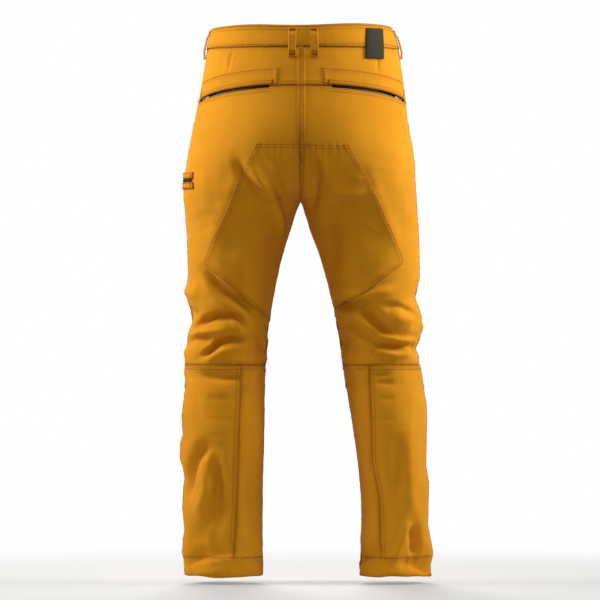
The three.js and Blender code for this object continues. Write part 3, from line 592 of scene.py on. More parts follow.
# Drum-dyed leather: nearly black, matt, with a pebbled grain about 1.1 mm across
HIDE = weathered("leather_label_dark", ("#211d0e", "#2d2915", "#3b3520"), 60.0, (0.6, 0.85), 900.0, 0.0004)
# Spun polyester thread: dull and uneven in shade, with a twist every 0.25 mm
THREAD = weathered("polyester_thread_brown", ("#652f07", "#7d3f0a", "#98520d"), 140.0, (0.5, 0.7), 4000.0, 0.0001)
# Woven polyester tape: quite matt, with a weave 0.7 mm apart
TAPE = weathered("zip_tape_woven_dark", ("#15140f", "#211f18", "#2d2a20"), 200.0, (0.75, 0.95), 1500.0, 0.0003)
# Moulded acetal teeth: a soft shine, with faint flow marks
TEETH_RESIN = weathered("zip_teeth_moulded_dark", ("#241f10", "#39331d", "#544b2e"), 120.0, (0.4, 0.6), 900.0, 0.0001,
                        gloss=0.4)
# Zinc castings with a tumbled brass plating: a dull metal shine, darker in patches
BRASS = weathered("zip_metal_antique", ("#4d4738", "#726952", "#958a6c"), 90.0, (0.25, 0.5), 700.0, 0.0001,
                  metallic=0.9, gloss=0.5)

# ---- Panels: pieces of the folded skin between four edges
RIDGE = 10.0  # the width of a lapped seam's double layer
STITCH_IN = 2.0  # how far a row of stitches keeps from the edge it sews
STITCH_ABOVE, TACK_ABOVE = 0.18, 0.35  # how far the thread's middle stands off the cloth
ROW_STEP, TACK_STEP = 4.0, 0.45  # how closely a sewn line and a tack's zigzag follow the cloth
SEAM_FADE = 3.6  # how far from a seam its painted shade has faded to about a third
# Each sewn line as its points and normals, by what it rides on
ROWS_OF_STITCHES = {"root": [], LEFT: [], RIGHT: [], "fly": []}
TACKS = []  # the same for the dense zigzag tacks, which all ride on the root
WAVES = np.random.default_rng(7).uniform(0, 2 * math.pi, 64)


def pucker(along, key):
    """Small irregular gathers along a seam, between -1 and 1; key picks the seam's own set of waves."""
    return (
        0.5 * np.sin(along / 1.15 + WAVES[key]) * (0.7 + 0.3 * np.sin(along / 11.0 + WAVES[key + 5]))
        + 0.35 * np.sin(along / 1.9 + WAVES[key + 13] + np.sin(along / 17.0))
        + 0.25 * np.sin(along / 3.1 + WAVES[key + 9])
    )


def cut_size(grid):
    """Width, length and area of a grid of points, in metres."""
    wide = np.linalg.norm(np.diff(grid, axis=1), axis=-1).sum(1).max()
    long = np.linalg.norm(np.diff(grid, axis=0), axis=-1).sum(0).max()
    a, b = grid[1:, 1:] - grid[:-1, :-1], grid[1:, :-1] - grid[:-1, 1:]
    area = np.linalg.norm(np.cross(a, b), axis=-1).sum() / 2
    return wide * MM, long * MM, float(min(area * MM * MM, wide * long * MM * MM))


def above_crotch(z):
    return smoothstep(CROTCH - 12, CROTCH + 10, z)


class Panel:
    """A cut piece. t0 and t1 are functions of z, top and bottom functions of t. Each edge is "over" (it laps its
    neighbour and is sewn down twice), "under" (it goes below its neighbour), "fell" (half of the felled seam up
    the middle of the back), "fold" (a turned edge) or "plain". off is how far it lies off the skin, ridge and raised
    are the width and height of a lapped edge, gather is how much its seams pucker, slant is the cosine of its start
    edge's lean, and fell is half the felled seam's width."""

    def __init__(self, side, t0, t1, top, bottom, edges, off=0.0, ridge=RIDGE, raised=0.8, gather=0.55, slant=None,
                 fell=0.0):
        self.side, self.off, self.ridge, self.raised, self.edges = side, off, ridge, raised, edges
        self.gather, self.fell, self.slant = gather, fell, slant or (lambda z: 1.0)
        as_function = lambda v: v if callable(v) else (lambda x: np.full(np.shape(x), float(v)))
        self.t0, self.t1, self.top, self.bottom = map(as_function, (t0, t1, top, bottom))

    def gaps(self, t, z):
        """Distance of (t, z) from each edge, and the run along that edge."""
        s = girth_at(self.side, t, z)
        return {
            "start": ((s - girth_at(self.side, self.t0(z), z)) * self.slant(z), z),
            "end": (girth_at(self.side, self.t1(z), z) - s, z),
            "top": (self.top(t) - z, s),
            "bottom": (z - self.bottom(t), s),
        }

    def lift(self, t, z):
        """How far the piece stands off the folded skin: its layers, its rows of stitches and its gathers."""
        total = np.full(np.shape(t), self.off)
        key = 3 if self.side == LEFT else 17
        for edge, (gap, along) in self.gaps(t, z).items():
            kind = self.edges.get(edge, "plain")
            key += 4
            gap = np.maximum(gap, 0)
            if kind == "over":
                total += self.raised * (1 - smoothstep(self.ridge - 0.8, self.ridge + 1.2, gap))
                total -= 0.32 * (hump(gap, STITCH_IN, 0.8) + hump(gap, self.ridge - STITCH_IN, 0.8))
                total -= 0.5 * hump(gap, 0, 0.8)
            if kind == "fell":
                layers = 1.9 * (1 - smoothstep(self.fell - 0.5, self.fell + 1.1, gap))
                total += above_crotch(z) * (layers - 0.5 * hump(gap, self.fell + 1.8, 1.5))
            if kind == "fold":
                total -= 0.9 * hump(gap, 0, 1.2) + 0.35 * hump(gap, 4.0, 1.0)
            if kind == "under":
                total -= 0.6 * hump(gap, 0, 2.0)
            if kind != "plain":
                total += self.gather * pucker(along, key) * np.exp(-gap / 8.0) * smoothstep(-0.5, 2.0, gap)
        return total

    def seam(self, t, z):
        """1 at a sewn edge, fading over the width of its layers: how much painted seam shade the cloth takes there."""
        near = np.full(np.shape(t), 1e3)
        for edge, (gap, _) in self.gaps(t, z).items():
            if self.edges.get(edge, "plain") != "plain":
                near = np.minimum(near, np.maximum(gap, 0))
        return np.exp(-near / SEAM_FADE)

    def point(self, t, z, above=0.0):
        """A point of the piece's outer face, or above it, and the cloth's normal there."""
        normal = cloth_normal(self.side, t, z)
        return cloth_point(self.side, t, z) + normal * (self.lift(t, z) + above)[..., None], normal

    def build(self, name, thick=1.0, look=None, pitch=2.6):
        """The piece as a layer of cloth, in faces about pitch wide, with its cut size kept."""
        mid_z = (self.top(0.5) + self.bottom(0.5)) / 2
        span = abs(girth_at(self.side, self.t1(mid_z), mid_z) - girth_at(self.side, self.t0(mid_z), mid_z))
        fall = float(self.top(0.7) - self.bottom(0.7))
        cols, rows = max(4, int(span / pitch)), max(4, int(fall / pitch))
        u, v = np.meshgrid(np.linspace(0, 1, cols + 1), np.linspace(0, 1, rows + 1))
        t = self.t0(mid_z) + (self.t1(mid_z) - self.t0(mid_z)) * u
        for _ in range(3):
            z = self.top(t) + (self.bottom(t) - self.top(t)) * v
            t = self.t0(z) + (self.t1(z) - self.t0(z)) * u
        outer, normal = self.point(t, z)
        uv = np.stack([girth_at(self.side, t, z) * self.side, z], -1)
        self.size = cut_size(skin_point(self.side, t, z))
        return shell(name, outer, -normal, thick, uv, look or TWILL, seam=self.seam(t, z))

    def row(self, edge, gap):
        """A sewn line at a distance from an edge: points just on the cloth, and normals."""
        if edge in ("start", "end"):
            high, low = self.top(0.7) - 1.5, self.bottom(0.7) + 1.5
            z = np.linspace(high, low, max(3, int((high - low) / ROW_STEP)))
            edge_t, away = (self.t0(z), gap / self.slant(z)) if edge == "start" else (self.t1(z), -gap)
            t = t_of_girth(self.side, girth_at(self.side, edge_t, z) + away, z)
        else:
            z = self.top(0.5) if edge == "top" else self.bottom(0.5)
            first, last = self.t0(z), self.t1(z)
            run = abs(girth_at(self.side, last, z) - girth_at(self.side, first, z))
            t = np.linspace(first, last, max(3, int(run / ROW_STEP)))
            z = self.top(t) - gap if edge == "top" else self.bottom(t) + gap
        return self.point(t, z, STITCH_ABOVE)

    def sew(self, where, *edges, rows=None):
        """Rows of stitches along edges, on the body or the leg where."""
        for edge in edges:
            for gap in rows or (STITCH_IN, self.ridge - STITCH_IN):
                ROWS_OF_STITCHES[where].append(self.row(edge, gap))

    def tack(self, t, z, across, long, turn=0.0):
        """A dense zigzag tack at (t, z): long along its length, across wide, turned from the vertical."""
        steps = np.arange(0, int(long / TACK_STEP))
        run = (steps / steps[-1] - 0.5) * long
        swing = np.where(steps % 2 == 0, 0.5, -0.5) * across
        c, s = math.cos(turn), math.sin(turn)
        girth = girth_at(self.side, t, z) + swing * c + run * s
        zs = z + run * c - swing * s
        TACKS.append(self.point(t_of_girth(self.side, girth, zs), zs, TACK_ABOVE))


def finish_piece(obj, cad_nodes, body, leg=None):
    """Hides the CAD nodes that a piece stands for, and hangs it on its body; a leg's piece only has its placement baked
    in.
    """
    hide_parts(*cad_nodes)
    if leg:
        bend_with(obj)
    else:
        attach(obj, body)
    return obj


def bend_with(obj):
    """Bakes the piece's placement into its mesh."""
    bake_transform(obj)


SIDE_T = 0.5  # t of the side seam
CALF_SEAM = {LEFT: (0.818, 0.812, 0.797), RIGHT: (0.801, 0.853, 0.822)}  # its t at the knee, mid calf and the hem
POCKET_INNER = 56.0  # the back pocket reaches from here, in x, to POCKET_SIDE_T
POCKET_SIDE_T = 0.555
SLOT_HALF = 2.9  # half the height of its opening
WELT_HEIGHT = 31.0
POCKET_INNER_T = {s: float(t_at(s, POCKET_INNER, YOKE)) for s in (LEFT, RIGHT)}


def calf_seam(side):
    """t of the seam up the calf, as a function of z."""
    return lambda z: np.interp(-z, (-KNEE, -(KNEE + HEM_SEAM) / 2, -HEM_SEAM), CALF_SEAM[side])


def slot_opening(side, t):
    """Half the height of the zip's opening at t: full over the pocket, closing within a few millimetres of its ends."""
    return SLOT_HALF * smoothstep(POCKET_SIDE_T - 0.002, POCKET_SIDE_T + 0.01, t) * (
        1 - smoothstep(POCKET_INNER_T[side] - 0.008, POCKET_INNER_T[side] + 0.002, t))


def by_yoke(side, rise=0.0, slot=0):
    """An edge that follows the yoke seam, rise above it; slot is 1 above the zip's opening and -1 below it."""
    return lambda t: yoke_line(side, t) + slot * slot_opening(side, t) + rise


MOUTH_X = 112.0  # the front pocket's mouth leaves the waistband here, and meets the side seam MOUTH_DEPTH below
MOUTH_DEPTH = 148.0
MOUTH_BOTTOM = BAND_SEAM - MOUTH_DEPTH


def mouth_t(side):
    """t of the front pocket's mouth, and of the side seam below it."""
    top = float(t_at(side, MOUTH_X, BAND_SEAM, False))
    return lambda z: np.minimum(top + (SIDE_T - top) * np.clip((BAND_SEAM - z) / MOUTH_DEPTH, 0, 1), SIDE_T)


FLY_EDGE = 38.0  # the flap's sewn edge, in x
FLY_BOTTOM = BAND_SEAM - 172.0
FLAP_CORNER = 34.0  # how high the curve at its lower corner starts


def fold_x(z):
    """x of the flap's sewn edge."""
    down = np.clip((FLY_BOTTOM + FLAP_CORNER - z) / FLAP_CORNER, 0, 1)
    return 3 + (FLY_EDGE - 3) * np.sqrt(np.maximum(1 - down * down, 0))


def front_start(side):
    """t at which a front panel starts: above FLY_BOTTOM the flap's sewn edge or the middle, below it the inseam."""
    def at(z):
        z = np.asarray(z, float)
        if side == LEFT:
            return np.where(z > FLY_BOTTOM, t_at(LEFT, fold_x(z), z, False), 0.0)
        return np.where(z > FLY_BOTTOM, t_at(RIGHT, np.full(z.shape, 2.0), z, False), 0.0)
    return at


def girth_gap(side, z):
    """t of one millimetre round the leg at the height z, on the back."""
    return 0.5 / (girth_at(side, 1.0, z) - girth_at(side, 0.5, z))


# The patch over the seat and the inner thighs: its outer edge as (x from the middle plane, z)
PATCH_EDGE = {
    LEFT: [(82, -226), (113, -283), (140, -353), (168, -410), (184, -452), (143, -485), (88, -534), (56, -562)],
    RIGHT: [(89, -228), (124, -285), (148, -336), (167, -381), (190, -432), (196, -450), (153, -482), (128, -504),
            (62, -536), (52, -552)],
}
FELL = {LEFT: 3.6, RIGHT: 7.4}  # how far the felled seam reaches from the middle of the back


def patch_edge(side):
    """t of the patch's outer edge, with its corners rounded over 12 mm."""
    xs, zs = np.array(PATCH_EDGE[side], float).T

    def at(z):
        z = np.asarray(z, float)
        x = sum(np.interp(-(z + d), -zs, xs) for d in (-6, -3, 0, 3, 6)) / 5
        return t_at(side, x, z)
    return at


def patch_slant(z):
    """The cosine of its lean, steeper above its widest point than below."""
    return 0.91 - 0.24 * smoothstep(-444, -462, np.asarray(z, float))


def patch_inner(side):
    """t of its inner edge: beside the felled seam, and close to the inseam below the crotch."""
    def at(z):
        z = np.asarray(z, float)
        return 1 - girth_gap(side, z) * (1.5 + above_crotch(z) * (FELL[side] - 1.0))
    return at


def wavy_hem(side):
    """Height of the hem's lower edge, which doesn't hang quite straight."""
    def at(t):
        t = np.asarray(t, float)
        wave = np.sin(t * 13 + side) + 0.6 * np.sin(t * 29 + 2 * side) + 0.35 * np.sin(t * 51)
        return HEM + 1.6 * wave * np.sin(math.pi * np.clip(t, 0, 1)) + 0.6
    return at


for word, side in SIDES.items():
    lower = LEG_BODY[side]

    def sewn(label, panel, nodes, rests_on, body=None, held="hung", slot="twill", **look):
        obj = panel.build(f"cloth_{label}_{word}", **look)
        return finish_piece(obj, nodes, body, None if body else side)

    yoke = Panel(side, SIDE_T, 1.0, BAND_SEAM, by_yoke(side, slot=1),
                 dict(top="under", bottom="over", start="under", end="fell"), fell=FELL[side])
    sewn("yoke", yoke, [f"yoke_{word}"], ["waistband_outer"], "root")
    yoke.sew("root", "end", rows=(FELL[side] - 1.6,))
    inner_t = POCKET_INNER_T[side]
    seam_part = Panel(side, inner_t, 1.0, 0.0, by_yoke(side), {}, off=0.8)  # the yoke seam beside the pocket
    seam_part.sew("root", "bottom", rows=(2.0, 8.0))
    back = Panel(side, SIDE_T, 1.0, by_yoke(side, slot=-1), KNEE,
                 dict(top="under", start="under", end="fell", bottom="under"), fell=FELL[side])
    sewn("back", back, [f"back_panel_{word}", f"knee_back_{word}"], [f"yoke_{word}"])
    felled = Panel(side, SIDE_T, 1.0, YOKE, CROTCH + 4, {}, off=1.5)
    felled.sew("root", "end", rows=(FELL[side] - 1.6,))
    below_zip = Panel(side, POCKET_SIDE_T, inner_t, by_yoke(side, -SLOT_HALF), YOKE - 60, {})
    below_zip.sew("root", "top", rows=(2.0, 7.5))
    calf = Panel(side, SIDE_T, calf_seam(side), KNEE, HEM_SEAM, dict(top="over", start="under", end="over"), gather=0.8)
    sewn("calf", calf, [f"calf_back_{word}"], [f"knee_back_{word}"])
    calf.sew(side, "top", "end")
    inner = Panel(side, calf_seam(side), 1.0, KNEE, HEM_SEAM, dict(top="over", start="under", end="under"), gather=0.8)
    sewn("calf_inner", inner, [f"calf_inner_{word}"], [f"knee_back_{word}"])
    inner.sew(side, "top")
    front = Panel(side, front_start(side), mouth_t(side), BAND_SEAM, KNEE_PANEL_TOP,
                  dict(top="under", bottom="under", end="over"))
    sewn("front", front, [f"front_panel_{word}"], ["waistband_outer"])
    front.sew(side, "end")
    knee = Panel(side, 0.0, SIDE_T, KNEE_PANEL_TOP, KNEE_PANEL_BOTTOM,
                 dict(top="over", bottom="over", start="over", end="over"))
    sewn("knee_panel", knee, [f"knee_panel_{word}"], [f"front_panel_{word}"])
    knee.sew(side, "top", "bottom", "end")
    shin = Panel(side, 0.0, SIDE_T, KNEE_PANEL_BOTTOM, HEM_SEAM, dict(top="under", start="over", end="over"))
    sewn("shin", shin, [f"shin_front_{word}"], [f"knee_panel_{word}"])
    shin.sew(side, "end", "start")
    inseam = Panel(side, 0.0, SIDE_T, CROTCH, KNEE_PANEL_TOP, {}, off=0.2)
    inseam.sew(side, "start")
    hem = Panel(side, 0.0, 1.0, HEM_SEAM, wavy_hem(side), dict(top="over", bottom="fold"), ridge=4.0, raised=0.5,
                gather=0.9)
    sewn("hem", hem, [f"hem_{word}"], [f"calf_back_{word}"], lower, held="folded", thick=1.8)
    hem.sew(side, "top", rows=(2.0,))

    patch = Panel(side, patch_edge(side), patch_inner(side), PATCH_EDGE[side][0][1], PATCH_EDGE[side][-1][1],
                  dict(top="over", start="over"), off=1.3, slant=patch_slant, gather=0.9, raised=0.5)
    sewn("seat_patch", patch, [f"seat_patch_{word}"], [f"back_panel_{word}"], held="laid")
    patch.sew(side, "start", "top")

    # the pockets of the back and the front
    welt_inner = inner_t + 12.0 * float(girth_gap(side, YOKE))
    welt = Panel(side, POCKET_SIDE_T, welt_inner, by_yoke(side, SLOT_HALF + WELT_HEIGHT), by_yoke(side, SLOT_HALF),
                 dict(top="over", bottom="fold", start="fold", end="over"), off=1.4, ridge=7.0, raised=0.6, gather=0.5)
    sewn("pocket_welt", welt, [f"pocket_welt_{word}"], [f"yoke_{word}"], "root", held="folded", pitch=1.8)
    welt.sew("root", "top", "end", "bottom", rows=(2.2,))
    welt.sew("root", "bottom", rows=(7.5,))
    for t_tack, rise in ((inner_t + 0.004, 5.0), (POCKET_SIDE_T + 0.012, 13.5)):  # clear of the pull swung right over
        welt.tack(t_tack, float(yoke_line(side, t_tack)) + rise, 2.4, long=13)
    bag = Panel(side, POCKET_SIDE_T + 0.01, inner_t - 0.01, by_yoke(side, -12.0), by_yoke(side, -165.0), {}, off=-4.4)
    sewn("back_bag", bag, [f"back_pocket_bag_{word}"], [f"back_pocket_{word}_zip"], "root", slot="lining",
         thick=1.6, look=LINING, pitch=4.0)
    mouth = mouth_t(side)
    facing = Panel(side, lambda z, m=mouth: m(z) - 0.06, SIDE_T, BAND_SEAM, MOUTH_BOTTOM - 12, dict(end="under"),
                   off=-2.4)
    sewn("pocket_facing", facing, [f"front_pocket_facing_{word}"], ["waistband_outer"], "root")
    front_bag = Panel(side, lambda z, m=mouth: np.maximum(m(z) - 0.2, 0.12), SIDE_T, BAND_SEAM, MOUTH_BOTTOM - 110, {},
                      off=-6.5)
    sewn("front_bag", front_bag, [f"front_pocket_bag_{word}"], ["waistband_outer"], "root", slot="lining",
         thick=1.6, look=LINING, pitch=4.0)
    for z_tack in (MOUTH_BOTTOM + 4, BAND_SEAM - 6):
        front.tack(float(mouth(z_tack)) - 0.008, z_tack, 2.4, long=10)

# ---- The waistband, once round
def from_halves(left, t, z, off):
    """Points off the cloth and their normals: of the left half where left is true, and of the right half elsewhere.
    t is given for each half."""
    halves = [(cloth_point(side, t[side], z), cloth_normal(side, t[side], z)) for side in (LEFT, RIGHT)]
    p, n = (np.where(left[..., None], a, b) for a, b in zip(*halves))
    return p + n * np.asarray(off)[..., None], n


def around(s, z, off):
    """A point of the waist at s, 0 at the front middle, 0.25 over the left side and 0.5 at the back middle."""
    s = s % 1.0
    t = np.where(s < 0.5, 2 * s, 2 - 2 * s)
    return from_halves(s < 0.5, {LEFT: t, RIGHT: t}, z, off)


def across_middle(x, z, off, back=False):
    """A point of the front or the back at x from the middle plane, positive towards the wearer's left."""
    size = np.maximum(np.abs(x), 0.01)
    return from_halves(x >= 0, {side: t_at(side, size, z, back) for side in (LEFT, RIGHT)}, z, off)


WAIST_EDGE = [(0.0, 0.0), (0.12, -1.0), (0.25, -3.5), (0.31, -2.0), (0.4, 1.6), (0.5, -2.0), (0.6, 4.0), (0.68, 2.5),
              (0.75, -1.0), (0.88, -1.0), (1.0, 0.0), (1.12, -1.0)]  # the waist's upper edge: s and its rise


def waist_top(s):
    xs, rises = np.array(WAIST_EDGE).T
    return sum(np.interp(s + d, xs, rises) for d in (-0.03, -0.015, 0, 0.015, 0.03)) / 5


def waist_strip(low_z, off, s0, s1):
    """A grid round the waist from s0 to s1: points, normals, uv and nearness to a seam."""
    cols, rows = int((s1 - s0) * 460), 18
    s, v = np.meshgrid(np.linspace(s0, s1, cols + 1), np.linspace(0, 1, rows + 1))
    high = waist_top(s)
    z = high + (low_z - high) * v
    run = s * 1000
    top_gap, bottom_gap = high - z, z - low_z
    lift = off + 0.45 * pucker(run, 21) * np.exp(-bottom_gap / 9) + 0.3 * pucker(run, 9) * np.exp(-top_gap / 7)
    lift -= 0.4 * hump(top_gap, 4, 1.4) + 0.4 * hump(bottom_gap, 3, 1.4) + 0.9 * hump(top_gap, 0, 1.2)
    lift += 0.5 * np.sin(run / 41 + 1.0) * np.sin(math.pi * v)
    points, normals = around(s, z, lift)
    return points, normals, np.stack([run, z], -1), np.exp(-np.minimum(top_gap, bottom_gap) / 6)


hoop_start = float(t_at(LEFT, FLY_EDGE + 1.2, BAND_SEAM, False)) / 2
underlap_end = 1 + float(t_at(LEFT, 34.0, BAND_SEAM, False)) / 2
points, normals, uv, seam = waist_strip(BAND_SEAM, 1.5, hoop_start, underlap_end)
band = shell("cloth_waistband", points, -normals, 2.0, uv, TWILL, seam=seam)
finish_piece(band, ["waistband_outer"], "root")
points, normals, uv, _ = waist_strip(BAND_SEAM + 1.0, -0.7, hoop_start, underlap_end)
facing = shell("cloth_waistband_facing", points - np.array([0, 0, 0.8]), -normals, 1.1, uv, LINING)
finish_piece(facing, ["waistband_facing"], "root")
for depth in (4.0, 9.5, 39.0):
    s = np.linspace(hoop_start + 0.002, underlap_end - 0.002, 320)
    ROWS_OF_STITCHES["root"].append(around(s, waist_top(s) - depth, np.full(s.shape, 1.65)))


for side, dart in ((LEFT, ((128, -46), (134, -68), (138, -84))), (RIGHT, ((146, -46), (147, -70), (147, -84)))):
    dart_x, dart_z = np.array(dart, float).T  # the dart from the waistband to the pocket's welt
    dart_t = t_at(side, dart_x, dart_z)
    ROWS_OF_STITCHES["root"].append((cloth_point(side, dart_t, dart_z), cloth_normal(side, dart_t, dart_z)))
for rung in np.arange(-138.0, CROTCH + 8, -5.6):  # the tacking across the felled seam below the yoke
    ROWS_OF_STITCHES["root"].append(
        across_middle(np.linspace(2.6, -6.4, 3), np.full(3, rung), np.full(3, 2.75), back=True))


# ---- The fly, on the front
def front_piece(name, nodes, body, x0, x1, top, bottom, off, thick):
    """A piece of the front from x0 to x1, off the cloth by off, with turned edges."""
    u, v = np.meshgrid(np.linspace(0, 1, 26), np.linspace(0, 1, max(12, int((top - bottom) / 2.6))))
    z = top + (bottom - top) * v
    low, high = (f(z) if callable(f) else np.full(z.shape, float(f)) for f in (x0, x1))
    x = low + (high - low) * u
    gap = np.minimum(x - low, np.minimum(top - z, z - bottom))
    lift = off + 0.3 * pucker(z, 5) * np.exp(-gap / 7) - 0.8 * hump(gap, 0, 1.2)
    points, normals = across_middle(x, z, lift)
    obj = shell(name, points, -normals, thick, np.stack([x, z], -1), TWILL, seam=np.exp(-gap / 6))
    return finish_piece(obj, nodes, body)


front_piece("cloth_fly_flap", ["fly_flap"], "fly", -6.0, fold_x, BAND_SEAM, FLY_BOTTOM, 1.5, 1.1)
front_piece("cloth_waistband_tab", ["waistband_tab"], "fly", -22.0, FLY_EDGE, -1.0, BAND_SEAM, 4.0, 2.0)
front_piece("cloth_fly_shield", ["fly_shield"], "root", -10.0, 42.0, BAND_SEAM, FLY_BOTTOM + 8, -11.5, 1.1)
flap_z = np.linspace(BAND_SEAM - 1, FLY_BOTTOM + 1, 60)
for inset in (2.0, 7.0):
    x = np.maximum(fold_x(flap_z) - inset, -4.0)
    ROWS_OF_STITCHES["fly"].append(across_middle(x, flap_z, np.full(x.shape, 1.7)))
edge_z = np.linspace(BAND_SEAM - 1, FLY_BOTTOM + 1, 50)
ROWS_OF_STITCHES["fly"].append(across_middle(np.full(50, -4.0), edge_z, np.full(50, 1.7)))
for z_line in (-5.0, -38.0):
    x = np.linspace(-20, 36, 20)
    ROWS_OF_STITCHES["fly"].append(across_middle(x, np.full(20, z_line), np.full(20, 4.2)))
ROWS_OF_STITCHES["fly"].append(across_middle(np.full(12, -19.5), np.linspace(-5, -38, 12), np.full(12, 4.2)))

# ---- Belt loops: strips tacked at both ends, which stand off the waistband between
LOOP_WIDTH = 15.0
LOOP_TOP, LOOP_BOTTOM = -7.0, BAND_SEAM - 20.0
# Each loop's side, its x (none beside the side seam) and whether it is on the back
LOOPS = {
    "back_left": (LEFT, 15.0, True), "back_right": (RIGHT, 25.0, True), "side_left": (LEFT, None, True),
    "side_right": (RIGHT, None, True), "front_left": (LEFT, 92.0, False), "front_right": (RIGHT, 92.0, False),
}


def off_band(slack, v):
    """How far a loop stands off at v, from 0 at its top to 1 at its bottom."""
    return slack * smoothstep(0.1, 0.28, v) * (1 - smoothstep(0.78, 0.93, v))


for word, (side, x, back) in LOOPS.items():
    t_mid = 0.52 if x is None else float(t_at(side, x, BAND_SEAM / 2, back))
    slack = 2.4 if x is None else 4.6
    u, v = np.meshgrid(np.linspace(-1, 1, 13), np.linspace(0, 1, 46))
    z = LOOP_TOP + (LOOP_BOTTOM - LOOP_TOP) * v
    cord = smoothstep(0.45, 0.62, abs(u)) * (1 - smoothstep(0.8, 1.0, abs(u)))  # the ridge along each turned edge
    off = 3.6 + off_band(slack, v) - 0.5 * u * u + 0.5 * cord
    s = girth_at(side, t_mid, z) + u * LOOP_WIDTH / 2
    middle = cloth_normal(side, t_mid, z)
    points = skin_point(side, t_of_girth(side, s, z), z) + middle * off[..., None]
    # every point of a loop counts as 0.4 near a seam, so the whole loop takes some painted seam shade
    obj = shell(f"cloth_loop_{word}", points, -middle, 1.6, np.stack([s, z], -1), TWILL, seam=0.4 + 0 * z)
    finish_piece(obj, [f"belt_loop_{word}"], "root")
    zs = np.linspace(LOOP_TOP - 2, LOOP_BOTTOM + 2, 22)
    lift = 4.1 + off_band(slack, (zs - LOOP_TOP) / (LOOP_BOTTOM - LOOP_TOP))
    n = cloth_normal(side, t_mid, zs)
    for across in (-4.6, 4.6):
        ts = t_of_girth(side, girth_at(side, t_mid, zs) + across, zs)
        ROWS_OF_STITCHES["root"].append((skin_point(side, ts, zs) + n * lift[:, None], n))
    whole_leg = Panel(side, 0.0, 1.0, 10.0, HEM, {}, off=3.7)
    for z_tack in (LOOP_TOP - 4.0, LOOP_BOTTOM + 3.5):
        whole_leg.tack(t_mid, z_tack, 2.6, long=12, turn=math.pi / 2)

# ---- Leather label on the back of the waistband, right of the middle
LABEL_X, LABEL_TOP = 140.0, -6.0
HALF_WIDE, HALF_HIGH, CORNER = 21.0, 29.0, 3.0
u, v = np.meshgrid(np.linspace(-1, 1, 34), np.linspace(-1, 1, 46))
z = LABEL_TOP - HALF_HIGH + v * HALF_HIGH
s = girth_at(RIGHT, t_at(RIGHT, LABEL_X, z), z) + HALF_WIDE * u
from_side, from_end = HALF_WIDE * (1 - abs(u)), HALF_HIGH * (1 - abs(v))
past_corner = np.maximum(np.hypot(np.maximum(CORNER - from_side, 0), np.maximum(CORNER - from_end, 0)) - CORNER, 0)
border = np.minimum(from_side, from_end)
lift = 3.6 - 0.7 * hump(border, 0, 0.9) - 0.35 * hump(border, 3.0, 0.7) + 0.35 * np.cos(u * 1.4) - 0.3 * past_corner
t = t_of_girth(RIGHT, s, z)
normals = cloth_normal(RIGHT, t, z)
points = skin_point(RIGHT, t, z) + normals * lift[..., None]
label = shell("leather_label", points, -normals, 1.5, np.stack([s, z], -1), HIDE)
finish_piece(label, ["leather_patch"], "root")


# ---- Zips: tapes with their teeth along an arc
class Arc:
    """The arc through three points, as the sliders run."""

    def __init__(self, first, middle, last):
        ab, ac = middle - first, last - first
        axis = np.cross(ab, ac)
        to_centre = (np.cross(axis, ab) * ac.dot(ac) + np.cross(ac, axis) * ab.dot(ab)) / (2 * axis.dot(axis))
        self.centre, self.radius = first + to_centre, np.linalg.norm(to_centre)
        self.axis = axis / np.linalg.norm(axis)
        self.start = (first - self.centre) / self.radius
        end = (last - self.centre) / self.radius
        self.length = self.radius * math.acos(np.clip(self.start.dot(end), -1, 1))

    def at(self, s, lift, across):
        angle = np.asarray(s)[..., None] / self.radius
        side = np.cross(self.axis, self.start)
        out = self.start * np.cos(angle) + side * np.sin(angle)
        lift, across = np.asarray(lift)[..., None], np.asarray(across)[..., None]
        return self.centre + out * (self.radius + lift) + self.axis * across

    def out(self, s):
        p = self.at(s, np.zeros(np.shape(s)), np.zeros(np.shape(s))) - self.centre
        return p / np.linalg.norm(p, axis=-1, keepdims=True)


class Line:
    """The straight run of the fly's zip."""

    def __init__(self, first, last, outward):
        self.first, self.along = first, (last - first) / np.linalg.norm(last - first)
        self.length = np.linalg.norm(last - first)
        across = np.cross(self.along, outward)
        self.across = across / np.linalg.norm(across)
        self.up = np.cross(self.across, self.along)

    def at(self, s, lift, across):
        s, lift, across = (np.asarray(x, float)[..., None] for x in (s, lift, across))
        return self.first + self.along * s + self.up * lift + self.across * across

    def out(self, s):
        return np.broadcast_to(self.up, np.shape(s) + (3,))


def level_skin(side, t, z, off):
    """The skin pushed out level, as the frame's pieces are."""
    dt, dz = 1e-3, 0.5
    across = skin_point(side, t + dt, z) - skin_point(side, t - dt, z)
    up = skin_point(side, t, z + dz) - skin_point(side, t, z - dz)
    n = np.cross(across, up) * side
    n[..., 2] = 0
    return skin_point(side, t, z) + off * n / np.linalg.norm(n)


TAPE_WIDE = 11.4  # half the width of both tapes
TEETH = []  # both rows of each zip, as points and normals


def zip_tape(name, node_name, track, lift, wide=TAPE_WIDE):
    """A zip's two tapes as one cloth, finely ribbed outside the teeth, and the lines that its teeth follow."""
    u, v = np.meshgrid(np.linspace(0, track.length, 50), np.linspace(-wide, wide, 17))
    points = track.at(u, lift - 0.35 + 0.25 * np.cos(u / 2.0) * (abs(v) > 2.4), v)
    obj = shell(name, points, -track.out(u), 0.6, np.stack([u, v], -1), TAPE)
    finish_piece(obj, [node_name], "root")
    for way in (1, -1):  # the two rows, set apart along the zip so that they mesh
        s = np.linspace(1.0 + 0.55 * (way > 0), track.length - 1.0, 60)
        TEETH.append((track.at(s, np.full(60, lift), np.full(60, 0.75 * way)), track.out(s)))


